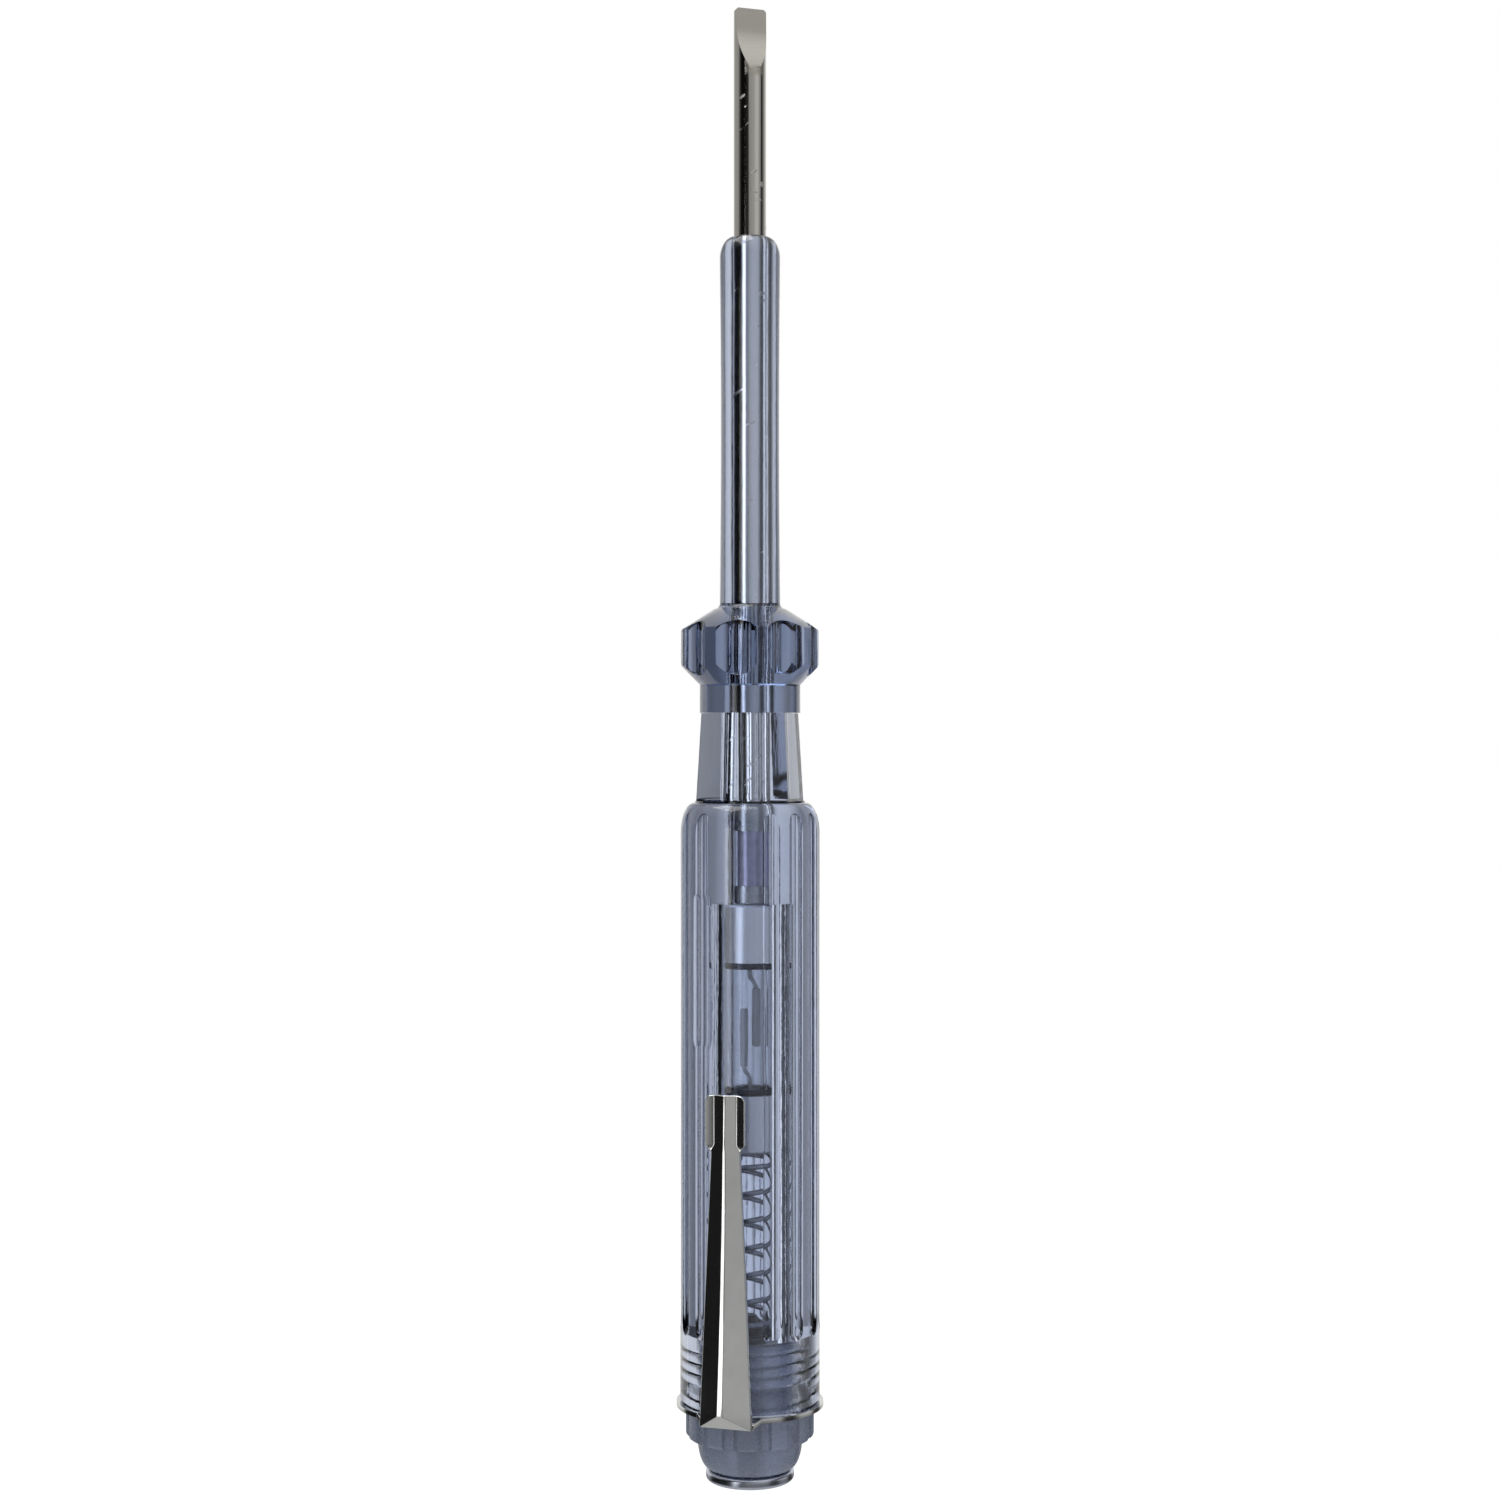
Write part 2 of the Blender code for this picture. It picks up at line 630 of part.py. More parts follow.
def make_panel_cutter(cutters, shoulder):
    """Shallow bare panel, wider than the flute it lies on, on the flute left of the window."""
    top = shoulder - PANEL_BELOW_SHOULDER
    half = PANEL_WIDTH / 2
    radius = (half ** 2 + PANEL_DEPTH ** 2) / (2 * PANEL_DEPTH)
    bar = round_bar("panel", radius, top - PANEL_LENGTH, top, cutters, dome=half)
    last = flute_angles()[-1]
    return around("panel_cutter", bar, cutters, [last], BARREL_RADIUS + radius - PANEL_DEPTH)


def make_front_sleeve(parts, cutters):
    """Skirt, scalloped roll stop and blade sheath in one moulding."""
    rim = SKIRT_LENGTH
    side = rim + RUNOUT_HEIGHT
    crown = side + ROLL_STOP_HEIGHT
    sheath = crown + ROLL_STOP_CROWN
    top = sheath + SHEATH_LENGTH
    inner = BLADE_BORE_RADIUS
    profile = arc((inner, top - SHEATH_END_HEIGHT), (SHEATH_RADIUS - inner, SHEATH_END_HEIGHT), 75, 0)
    profile = [(inner, top)] + profile
    profile += [(SHEATH_WAIST_RADIUS, (sheath + top) / 2)]
    profile += [(SHEATH_RADIUS, sheath + SHEATH_FILLET), (SHEATH_RADIUS + SHEATH_FILLET, sheath)]
    profile += [(ROLL_STOP_RADIUS, crown), (ROLL_STOP_RADIUS, side), (SKIRT_RADIUS, rim)]
    profile += [(SKIRT_RADIUS, 0), (inner, 0)]
    body = turned("front_sleeve", profile, BARREL_STEPS, closed=True)
    sleeve = place(body, parts, smoky_plastic("sleeve_plastic"))
    bar = round_bar("scallop", SCALLOP_RADIUS, rim, sheath, cutters, dome=SCALLOP_DEPTH)
    centre = ROLL_STOP_RADIUS + SCALLOP_RADIUS - SCALLOP_DEPTH
    cut(sleeve, around("scallop_cutter", bar, cutters, evenly(SCALLOP_COUNT, SCALLOP_TURN), centre))
    finish(sleeve)
    sleeve.location = (0, 0, SLEEVE_Z)
    return sleeve


def make_tip_cutter(cutters, length):
    """The ground ramps and flats either side of the slot tip, as one cutter."""
    root = TIP_ROOT_THICKNESS / 2
    flat = length - TIP_FLAT_LENGTH
    far = BLADE_RADIUS + CUT_OVERRUN
    ramp_foot = flat - TIP_GRIND_LENGTH * (far - root) / (BLADE_RADIUS - root)
    tip = TIP_THICKNESS / 2
    over = length + CUT_OVERRUN
    outline = [(tip, length), (tip, over), (far, over), (far, ramp_foot), (root, flat)]
    mesh = bpy.data.meshes.new("tip_cutter")
    shape = bmesh.new()
    for side in (1, -1):
        shape.faces.new([shape.verts.new((-far, side * y, z)) for y, z in outline])
    thicken(shape, (2 * far, 0, 0))
    shape.to_mesh(mesh)
    shape.free()
    cutter = guide(place(bpy.data.objects.new("tip_cutter", mesh), cutters))
    cutter.rotation_euler.z = math.radians(TIP_TURN)
    return cutter


def make_blade(parts, cutters):
    """Round rod, ground to a slot tip at the top and ribbed where the handle holds it."""
    length = SLEEVE_TOP_Z + BLADE_EXPOSED - TANG_Z
    edge = BLADE_EDGE
    profile = [(0, length), (BLADE_RADIUS - edge, length), (BLADE_RADIUS, length - edge)]
    profile += [(BLADE_RADIUS, edge), (BLADE_RADIUS - edge, 0), (0, 0)]
    blade = place(turned("blade", profile), parts, chrome("blade_chrome"))
    cut(blade, make_tip_cutter(cutters, length))
    groove = TANG_RIB_DEPTH * 2
    bar = round_bar("rib_groove", groove, TANG_LENGTH - TANG_RIB_LENGTH, TANG_LENGTH, cutters, dome=groove)
    centre = BLADE_RADIUS + groove - TANG_RIB_DEPTH
    cut(blade, around("rib_cutter", bar, cutters, evenly(TANG_RIB_COUNT), centre))
    finish(blade)
    blade.location = (0, 0, TANG_Z)
    return blade


def make_cups(names, radius, wall, end, length, parts, bottom, top):
    """A pair of pressed metal caps: the lower opens upwards and the upper downwards."""
    inner = radius - wall
    lower = [(0, end), (inner, end), (inner, length), (radius, length), (radius, 0), (0, 0)]
    upper = [(r, length - z) for r, z in reversed(lower)]
    for name, profile, height in zip(names, (lower, upper), (bottom, top - length)):
        finish(place(turned(name, profile), parts, nickel(name), location=(0, 0, height)))


def make_resistor(parts):
    """Carbon rod between two pressed ferrules."""
    end = FERRULE_END + SEAT_GAP
    length = RESISTOR_LENGTH - 2 * end
    profile = [(0, length), (RESISTOR_RADIUS, length), (RESISTOR_RADIUS, 0), (0, 0)]
    rod = turned("resistor_body", profile, SMALL_STEPS)
    finish(place(rod, parts, carbon_rod("resistor_lacquer"), location=(0, 0, RESISTOR_Z + end)))
    names = ("resistor_rear_ferrule", "resistor_front_ferrule")
    top = RESISTOR_Z + RESISTOR_LENGTH
    make_cups(names, FERRULE_RADIUS, FERRULE_WALL, FERRULE_END, FERRULE_LENGTH, parts, RESISTOR_Z, top)


def make_lamp(parts):
    """Glass tube between two metal caps, with cement at their mouths and an electrode from each end."""
    names = ("lamp_rear_cap", "lamp_front_cap")
    wall = LAMP_CAP_WALL
    make_cups(names, LAMP_CAP_RADIUS, wall, wall, LAMP_CAP_LENGTH, parts, LAMP_Z, LAMP_TOP_Z)
    inner = GLASS_RADIUS + FIT_GAP
    ring = [(inner, CEMENT_HEIGHT), (LAMP_CAP_RADIUS, CEMENT_HEIGHT), (LAMP_CAP_RADIUS, 0), (inner, 0)]
    rear_mouth = LAMP_Z + LAMP_CAP_LENGTH + SEAT_GAP
    front_mouth = LAMP_TOP_Z - LAMP_CAP_LENGTH - SEAT_GAP - CEMENT_HEIGHT
    for name, height in (("lamp_rear_cement", rear_mouth), ("lamp_front_cement", front_mouth)):
        finish(place(turned(name, ring, closed=True), parts, cement(name), location=(0, 0, height)))
    make_lamp_glass(parts)
    make_electrodes(parts)


def make_lamp_glass(parts):
    """Tube whose rounded ends close round the two lead wires."""
    seat = LAMP_CAP_WALL + SEAT_GAP
    length = LAMP_LENGTH - 2 * seat
    hole = LEAD_RADIUS + FIT_GAP
    outer = GLASS_RADIUS
    inner = outer - GLASS_WALL
    profile = [(hole, length)]
    profile += arc((outer - GLASS_END, length - GLASS_END), (GLASS_END, GLASS_END), 90, 0)
    profile += arc((outer - GLASS_END, GLASS_END), (GLASS_END, GLASS_END), 0, -90)
    profile += [(hole, 0), (hole, GLASS_END), (inner, GLASS_END), (inner, length - GLASS_END)]
    profile += [(hole, length - GLASS_END)]
    glass = turned("lamp_glass", profile, closed=True)
    return finish(place(glass, parts, clear_glass("lamp_glass"), location=(0, 0, LAMP_Z + seat)))


def make_electrodes(parts):
    """Two rods side by side in the middle of the glass, each on a lead from its own cap."""
    middle = LAMP_Z + LAMP_LENGTH / 2
    reach = LAMP_LENGTH / 2 - LAMP_CAP_WALL - SEAT_GAP
    for name, side in (("lamp_rear_electrode", -1), ("lamp_front_electrode", 1)):
        foot = middle + side * (ELECTRODE_LENGTH - ELECTRODE_OVERLAP / 2)
        tip = middle - side * ELECTRODE_OVERLAP / 2
        bend = foot + side * ELECTRODE_OFFSET * 2
        offset = side * ELECTRODE_OFFSET
        points = (
            Vector((0, 0, middle + side * reach)),
            Vector((0, 0, bend)),
            Vector((offset, 0, foot + side * ELECTRODE_OFFSET)),
            Vector((offset, 0, foot)),
            Vector((offset, 0, tip)),
        )
        radii = (LEAD_RADIUS, LEAD_RADIUS, LEAD_RADIUS, ELECTRODE_RADIUS, ELECTRODE_RADIUS)
        make_wire(name, points, radii, parts, None, nickel(name))


def main():
    clear_scene()
    parts = new_collection(NAME)
    cutters = new_collection("cutters")
    make_handle(parts, cutters)
    make_front_sleeve(parts, cutters)
    make_blade(parts, cutters)
    make_resistor(parts)
    make_lamp(parts)
    cap_axis = empty("cap_axis", (0, 0, 0), parts)
    make_contact_spring(parts, cap_axis)
    make_screw_cap(parts, cutters, cap_axis)
    make_touch_contact(parts, cap_axis)
    make_contact_nose(parts, cap_axis)
    clip_axis = empty("clip_axis", (0, 0, 0), parts)
    make_clip_ring(parts, cutters, clip_axis)
    flex_axis = empty("flex_axis", FLEX_AXIS, parts, parent=clip_axis)
    make_clip_leaf(parts, flex_axis)


main()
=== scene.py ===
import math

import bpy
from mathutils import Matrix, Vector


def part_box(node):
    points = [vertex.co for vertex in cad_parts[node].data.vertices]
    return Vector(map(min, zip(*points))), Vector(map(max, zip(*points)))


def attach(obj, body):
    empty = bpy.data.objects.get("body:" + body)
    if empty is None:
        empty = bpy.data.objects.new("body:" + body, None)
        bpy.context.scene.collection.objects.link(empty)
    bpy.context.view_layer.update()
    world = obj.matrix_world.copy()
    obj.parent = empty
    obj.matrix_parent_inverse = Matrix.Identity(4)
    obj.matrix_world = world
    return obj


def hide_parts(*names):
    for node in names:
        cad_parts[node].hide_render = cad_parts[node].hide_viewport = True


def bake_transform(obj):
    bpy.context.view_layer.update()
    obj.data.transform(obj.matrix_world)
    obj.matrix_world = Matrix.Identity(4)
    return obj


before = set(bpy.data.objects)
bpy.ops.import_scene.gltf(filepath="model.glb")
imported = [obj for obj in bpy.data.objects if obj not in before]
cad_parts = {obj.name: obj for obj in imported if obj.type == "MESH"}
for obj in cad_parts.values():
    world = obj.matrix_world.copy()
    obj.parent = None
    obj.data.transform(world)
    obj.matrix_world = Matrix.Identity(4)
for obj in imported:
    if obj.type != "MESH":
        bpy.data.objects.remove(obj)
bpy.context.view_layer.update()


# Blade: 3.1 mm round carbon steel rod, drawn, polished and chromed. Its tip is ground from two sides to
# a 0.55 mm slot tip, and ribs pressed into its tang grip the handle.
ROD_RADIUS = 0.00155
ROD_END_CHAMFER = 0.00014
TIP_FLAT = 0.0017
TIP_GRIND = 0.0051
TIP_HALF = 0.000275
TIP_ROOT_HALF = 0.0004
TIP_TURN = 37
TIP_CORNER = 0.00025
RIB_LENGTH = 0.0078
TANG_LENGTH = 0.00945
RIB_DEPTH = 0.0001
RIB_COUNT = 12
GRIND_STEPS = 14
GRIND_BLEND = 0.0004
SEED_SIZE = 0.001
MERGE = 0.000002
OVERRUN = 0.001
COLOURS = {"data_type": "RGBA"}


def hold(piece):
    """Selects the piece alone and makes it the active one."""
    bpy.ops.object.select_all(action="DESELECT")
    piece.select_set(True)
    bpy.context.view_layer.objects.active = piece


def weld():
    """In edit mode: merges points that lie on one another. All is selected then."""
    bpy.ops.mesh.select_all(action="SELECT")
    bpy.ops.mesh.remove_doubles(threshold=MERGE)


def face_out():
    """Ends edit mode with every face turned outward."""
    bpy.ops.mesh.select_all(action="SELECT")
    bpy.ops.mesh.normals_make_consistent(inside=False)
    bpy.ops.object.mode_set(mode="OBJECT")


def extrude(step):
    """In edit mode: extrudes what is selected by a step (x, y, z)."""
    bpy.ops.mesh.extrude_region_move(TRANSFORM_OT_translate={"value": step})


def draw_line(name, points):
    """A chain of edges, drawn in edit mode from one vertex by extruding it from point to point."""
    bpy.ops.object.select_all(action="DESELECT")
    bpy.ops.mesh.primitive_plane_add(size=SEED_SIZE, location=points[0])
    line = bpy.context.object
    line.name = name
    bpy.ops.object.transform_apply(location=True, rotation=False, scale=False)
    bpy.ops.object.mode_set(mode="EDIT")
    bpy.ops.mesh.select_all(action="SELECT")
    bpy.ops.mesh.merge(type="CENTER")
    for here, there in zip(points, points[1:]):
        extrude(Vector(there) - Vector(here))
    return line


def turn(name, profile, steps=96, closed=True):
    """A round piece: its profile of (radius, height) points is spun once round Z."""
    points = [(radius, 0, height) for radius, height in profile]
    if closed:
        points.append(points[0])
    piece = draw_line(name, points)
    weld()
    bpy.ops.mesh.spin(steps=steps, angle=math.tau, center=(0, 0, 0), axis=(0, 0, 1))
    weld()
    face_out()
    return piece


def curve_of(centre, radii, start, end, steps):
    """Points on an ellipse round centre (radius, height), between two angles in degrees."""
    points = []
    for i in range(steps + 1):
        angle = math.radians(start + (end - start) * i / steps)
        points.append((centre[0] + radii[0] * math.cos(angle), centre[1] + radii[1] * math.sin(angle)))
    return points


def push(name, outline, step):
    """A block: a closed outline of points is filled and extruded by step."""
    block = draw_line(name, outline + [outline[0]])
    weld()
    bpy.ops.mesh.edge_face_add()
    extrude(step)
    face_out()
    return block


def seat(piece, place=(0, 0, 0), turned=0.0, lean=0.0):
    """Leans, turns and moves the piece, and puts its new place into its mesh."""
    hold(piece)
    piece.rotation_euler = (math.radians(lean), 0, math.radians(turned))
    piece.location = place
    bpy.ops.object.transform_apply(location=True, rotation=True, scale=True)
    return piece


def repeat_round(piece, copies, span):
    """Copies the whole mesh round Z, the first included, over span degrees. Spin turns clockwise."""
    hold(piece)
    bpy.ops.object.mode_set(mode="EDIT")
    bpy.ops.mesh.select_all(action="SELECT")
    turn_by = math.radians(-span)
    bpy.ops.mesh.spin(steps=copies - 1, angle=turn_by, dupli=True, center=(0, 0, 0), axis=(0, 0, 1))
    bpy.ops.object.mode_set(mode="OBJECT")
    return piece


def carve(piece, cutter):
    """Cuts the cutter's shape out of the piece, as a tool or the mould's insert does."""
    hold(piece)
    step = piece.modifiers.new("Carve", "BOOLEAN")
    step.object = cutter
    step.solver = "EXACT"
    bpy.ops.object.modifier_apply(modifier=step.name)
    bpy.data.objects.remove(cutter, do_unlink=True)


def smooth(piece, degrees=28):
    """Shades the piece smooth between its sharp edges."""
    hold(piece)
    bpy.ops.object.shade_smooth_by_angle(angle=math.radians(degrees))
    return piece


def hue(code):
    """A colour written as sRGB hex, as linear red, green, blue and alpha."""
    parts = [int(code[i:i + 2], 16) / 255 for i in (1, 3, 5)]
    return [p / 12.92 if p <= 0.04045 else ((p + 0.055) / 1.055) ** 2.4 for p in parts] + [1.0]


def feed(tree, node, inputs):
    """Sets a node's inputs to values, or links them where (node, output) is given."""
    for name, value in inputs.items():
        if isinstance(value, tuple) and isinstance(value[0], bpy.types.Node):
            tree.links.new(value[0].outputs[value[1]], node.inputs[name])
        else:
            node.inputs[name].default_value = value


def add(tree, kind, settings=None, inputs=None):
    """One shader node with its settings and inputs."""
    node = tree.nodes.new("ShaderNode" + kind)
    for name, value in (settings or {}).items():
        setattr(node, name, value)
    feed(tree, node, inputs or {})
    return node


def new_finish(name):
    """A material, its node tree, its Principled shader and its texture coordinates."""
    made = bpy.data.materials.new(name)
    made.use_nodes = True
    tree = made.node_tree
    return made, tree, tree.nodes["Principled BSDF"], add(tree, "TexCoord")


def give(piece, finish):
    """The piece's one material."""
    piece.data.materials.clear()
    piece.data.materials.append(finish)


def steps_of(ramp, stops):
    """Sets a colour ramp's stops from (position, colour) pairs."""
    while len(ramp.elements) < len(stops):
        ramp.elements.new(1.0)
    for element, (position, colour) in zip(ramp.elements, stops):
        element.position = position
        element.color = colour


tang_z, tip_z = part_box("blade")[0].z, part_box("blade")[1].z
blade = turn("blade_rod", [
    (0, tip_z),
    (ROD_RADIUS - ROD_END_CHAMFER, tip_z),
    (ROD_RADIUS, tip_z - ROD_END_CHAMFER),
    (ROD_RADIUS, tang_z + ROD_END_CHAMFER),
    (ROD_RADIUS - ROD_END_CHAMFER, tang_z),
    (0, tang_z),
], steps=72, closed=False)
flat_z = tip_z - TIP_FLAT
outer = ROD_RADIUS + OVERRUN
hollow = []
for i in range(GRIND_STEPS + 1):
    share = i / GRIND_STEPS
    ease = share * share * (3 - 2 * share)
    hollow.append((TIP_ROOT_HALF + (ROD_RADIUS - TIP_ROOT_HALF) * ease, flat_z - TIP_GRIND * share))
hollow.append((outer, flat_z - TIP_GRIND))
for side in (1, -1):
    outline = [(-outer, side * y, z) for y, z in [(TIP_HALF, tip_z + OVERRUN), (TIP_HALF, tip_z)] + hollow]
    outline.append((-outer, side * outer, tip_z + OVERRUN))
    grind = push("grind", outline, (2 * outer, 0, 0))
    carve(blade, seat(grind, turned=TIP_TURN))
for side in (1, -1):
    across = side * (ROD_RADIUS - TIP_CORNER)
    far = side * outer
    corner = push("corner", [
        (across, -outer, tip_z + OVERRUN),
        (across, -outer, tip_z),
        (side * ROD_RADIUS, -outer, tip_z - TIP_CORNER),
        (far, -outer, tip_z - TIP_CORNER),
        (far, -outer, tip_z + OVERRUN),
    ], (0, 2 * outer, 0))
    carve(blade, seat(corner, turned=TIP_TURN))
rib = turn("rib", [
    (0, tang_z + TANG_LENGTH),
    (2 * RIB_DEPTH, tang_z + TANG_LENGTH - 2 * RIB_DEPTH),
    (2 * RIB_DEPTH, tang_z + TANG_LENGTH - RIB_LENGTH + 2 * RIB_DEPTH),
    (0, tang_z + TANG_LENGTH - RIB_LENGTH),
], steps=10, closed=False)
seat(rib, (0, -ROD_RADIUS - RIB_DEPTH, 0))
carve(blade, repeat_round(rib, RIB_COUNT, 360 * (RIB_COUNT - 1) / RIB_COUNT))
smooth(blade, 24)

# Chrome plate over polished steel: a mirror that isn't quite even, so that the edge between its dark and
# light reflections wanders and breaks into small bright nicks. The ground faces of the tip are duller.
chrome, tree, shader, where = new_finish("polished_chrome_plate")
slanted = add(tree, "Mapping", {"vector_type": "TEXTURE"}, {
    "Vector": (where, "Object"), "Rotation": (0, -0.55, 0), "Scale": (2.2, 1, 0.7),
})
dents = add(tree, "TexNoise", inputs={"Vector": (slanted, "Vector"), "Scale": 900.0, "Detail": 1.0})
nicks = add(tree, "MapRange", {"interpolation_type": "SMOOTHSTEP"}, {
    "Value": (dents, 0), "From Min": 0.68, "From Max": 0.74,
})
along = add(tree, "Mapping", inputs={"Vector": (where, "Object"), "Scale": (1, 1, 0.35)})
waves = add(tree, "TexNoise", inputs={"Vector": (along, "Vector"), "Scale": 520.0, "Detail": 3.0})
drawn = add(tree, "Mapping", inputs={"Vector": (where, "Object"), "Scale": (1, 1, 0.02)})
lines = add(tree, "TexNoise", inputs={"Vector": (drawn, "Vector"), "Scale": 9000.0, "Detail": 2.0})
up = add(tree, "SeparateXYZ", inputs={"Vector": (where, "Object")})
grind_z = flat_z - TIP_GRIND
ground_zone = add(tree, "MapRange", inputs={
    "Value": (up, "Z"), "From Min": grind_z, "From Max": grind_z + GRIND_BLEND,
})
tip_angle = math.radians(TIP_TURN)
facing = add(tree, "VectorMath", {"operation": "DOT_PRODUCT"}, {
    0: (where, "Normal"), 1: (-math.sin(tip_angle), math.cos(tip_angle), 0),
})
facing_size = add(tree, "Math", {"operation": "ABSOLUTE"}, {0: (facing, "Value")})
flat_face = add(tree, "MapRange", inputs={"Value": (facing_size, 0), "From Min": 0.75, "From Max": 0.8})
ground = add(tree, "Math", {"operation": "MULTIPLY"}, {0: (ground_zone, 0), 1: (flat_face, 0)})
across_marks = add(tree, "Mapping", inputs={"Vector": (where, "Object"), "Scale": (0.08, 0.08, 1)})
wheel_marks = add(tree, "TexNoise", inputs={
    "Vector": (across_marks, "Vector"), "Scale": 14000.0, "Detail": 3.0,
})
polish = add(tree, "MapRange", inputs={"Value": (lines, 0), "To Min": 0.05, "To Max": 0.13})
worn = add(tree, "Mix", inputs={0: (nicks, 0), 2: (polish, 0), 3: 0.5})
rough = add(tree, "Mix", inputs={0: (ground, 0), 2: (worn, 0), 3: 0.3})
tone = add(tree, "Mix", COLOURS, {0: (ground, 0), 6: hue("#D2D0CB"), 7: hue("#C3C0B8")})
even = add(tree, "Math", {"operation": "MULTIPLY_ADD"}, {0: (waves, 0), 1: 1.0, 2: (nicks, 0)})
relief = add(tree, "Mix", inputs={0: (ground, 0), 2: (even, 0), 3: (wheel_marks, 0)})
bump = add(tree, "Bump", inputs={"Height": (relief, 0), "Strength": 0.35, "Distance": 0.00004})
feed(tree, shader, {"Base Color": (tone, 2), "Roughness": (rough, 0), "Normal": (bump, 0), "Metallic": 1.0})
give(blade, chrome)
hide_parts("blade")
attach(blade, "handle")


# Front sleeve: clear smoky-blue acetate, moulded in one piece round the blade: skirt, scalloped roll stop
# and long sheath with a rounded mouth.
SKIRT_RADIUS = 0.0048
SKIRT_LENGTH = 0.0026
JOINT_PRESS = 0.00008
RUNOUT = 0.0018
STOP_RADIUS = 0.0066
STOP_HEIGHT = 0.0035
STOP_CROWN = 0.0019
STOP_EDGE = 0.00018
SCALLOP_RADIUS = 0.0028
SCALLOP_DEPTH = 0.0011
SCALLOP_COUNT = 8
SCALLOP_TURN = 6
SHEATH_RADIUS = 0.00288
SHEATH_WAIST = 0.00278
SHEATH_FILLET = 0.0006
MOUTH_HEIGHT = 0.002
SHEATH_STEPS = 12
CLEARANCE = 0.0001
BLADE_BORE = ROD_RADIUS + CLEARANCE

sleeve_z, sleeve_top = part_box("front_sleeve")[0].z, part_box("front_sleeve")[1].z
stop_z = sleeve_z + SKIRT_LENGTH + RUNOUT
crown_z = stop_z + STOP_HEIGHT
sheath_z = crown_z + STOP_CROWN
mouth_z = sleeve_top - MOUTH_HEIGHT
root_z = sheath_z + SHEATH_FILLET
profile = [(BLADE_BORE, sleeve_top)]
profile += curve_of((BLADE_BORE, mouth_z), (SHEATH_RADIUS - BLADE_BORE, MOUTH_HEIGHT), 75, 0, 14)
for i in range(1, SHEATH_STEPS):
    share = i / SHEATH_STEPS
    swell = (SHEATH_RADIUS - SHEATH_WAIST) * (2 * share - 1) ** 2
    profile.append((SHEATH_WAIST + swell, mouth_z + (root_z - mouth_z) * share))
profile += curve_of((SHEATH_RADIUS + SHEATH_FILLET, root_z), (SHEATH_FILLET, SHEATH_FILLET), 180, 270, 8)
# The roll stop's rim, with its edges rounded by a share of STOP_EDGE.
for inset, z in ((1.8, crown_z + 0.7 * STOP_EDGE), (0.5, crown_z), (0, crown_z - STOP_EDGE),
                 (0, stop_z + STOP_EDGE), (0.4, stop_z - 0.2 * STOP_EDGE)):
    profile.append((STOP_RADIUS - inset * STOP_EDGE, z))
profile += [(SKIRT_RADIUS, sleeve_z + SKIRT_LENGTH), (SKIRT_RADIUS, sleeve_z - JOINT_PRESS)]
profile += [(BLADE_BORE, sleeve_z - JOINT_PRESS)]
sleeve = turn("sleeve_moulding", profile, steps=128)


def domed_bar(name, radius, bottom, top, dome, steps=40):
    """A round bar with domed ends, which leaves a flute with rounded ends."""
    ends = curve_of((0, top - dome), (radius, dome), 90, 0, 8)
    ends += curve_of((0, bottom + dome), (radius, dome), 0, -90, 8)
    return turn(name, ends, steps=steps, closed=False)


bar = domed_bar("scallop", SCALLOP_RADIUS, sleeve_z + SKIRT_LENGTH, sheath_z, SCALLOP_DEPTH, 64)
seat(bar, (0, -(STOP_RADIUS + SCALLOP_RADIUS - SCALLOP_DEPTH), 0))
repeat_round(bar, SCALLOP_COUNT, 360 * (SCALLOP_COUNT - 1) / SCALLOP_COUNT)
carve(sleeve, seat(bar, turned=SCALLOP_TURN))
smooth(sleeve)


def smoky_acetate(name, seed, depth=105.0, gloss_range=(0.05, 0.12), clear=1.0, tones=("#E5ECFA", "#F0F4FE")):
    """Injection-moulded cellulose acetate with a smoky blue dye, deeper where it is thicker: glossy, with
    the slow waves that a mould leaves as the plastic shrinks, a faint orange peel and a few scratches."""
    made, tree, shader, where = new_finish(name)
    place = add(tree, "Mapping", inputs={"Vector": (where, "Object"), "Location": (seed, 0, 0)})
    flow = add(tree, "Mapping", inputs={"Vector": (place, "Vector"), "Scale": (1, 1, 0.22)})
    dye = add(tree, "TexNoise", inputs={"Vector": (flow, "Vector"), "Scale": 160.0, "Detail": 2.0})
    tone = add(tree, "Mix", COLOURS, {0: (dye, 0), 6: hue(tones[0]), 7: hue(tones[1])})
    shrink = add(tree, "TexNoise", inputs={"Vector": (flow, "Vector"), "Scale": 380.0, "Detail": 1.0})
    peel = add(tree, "TexNoise", inputs={"Vector": (flow, "Vector"), "Scale": 2400.0, "Detail": 2.0})
    height = add(tree, "Math", {"operation": "MULTIPLY_ADD"}, {0: (shrink, 0), 1: 4.0, 2: (peel, 0)})
    bump = add(tree, "Bump", inputs={"Height": (height, 0), "Strength": 0.25, "Distance": 0.00003})
    scratches = add(tree, "TexNoise", inputs={
        "Vector": (place, "Vector"), "Scale": 900.0, "Detail": 6.0, "Roughness": 0.75,
    })
    gloss = add(tree, "MapRange", inputs={
        "Value": (scratches, 0), "From Min": 0.45, "From Max": 0.75,
        "To Min": gloss_range[0], "To Max": gloss_range[1],
    })
    body = add(tree, "VolumeAbsorption", inputs={"Color": hue("#A1AEC6"), "Density": depth})
    feed(tree, shader, {
        "Base Color": (tone, 2), "Roughness": (gloss, 0), "Normal": (bump, 0),
        "Transmission Weight": clear, "IOR": 1.47,
    })
    feed(tree, tree.nodes["Material Output"], {"Volume": (body, 0)})
    return made


give(sleeve, smoky_acetate("smoky_acetate_sleeve", 0.0, 240.0, (0.03, 0.1)))
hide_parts("front_sleeve")
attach(sleeve, "handle")


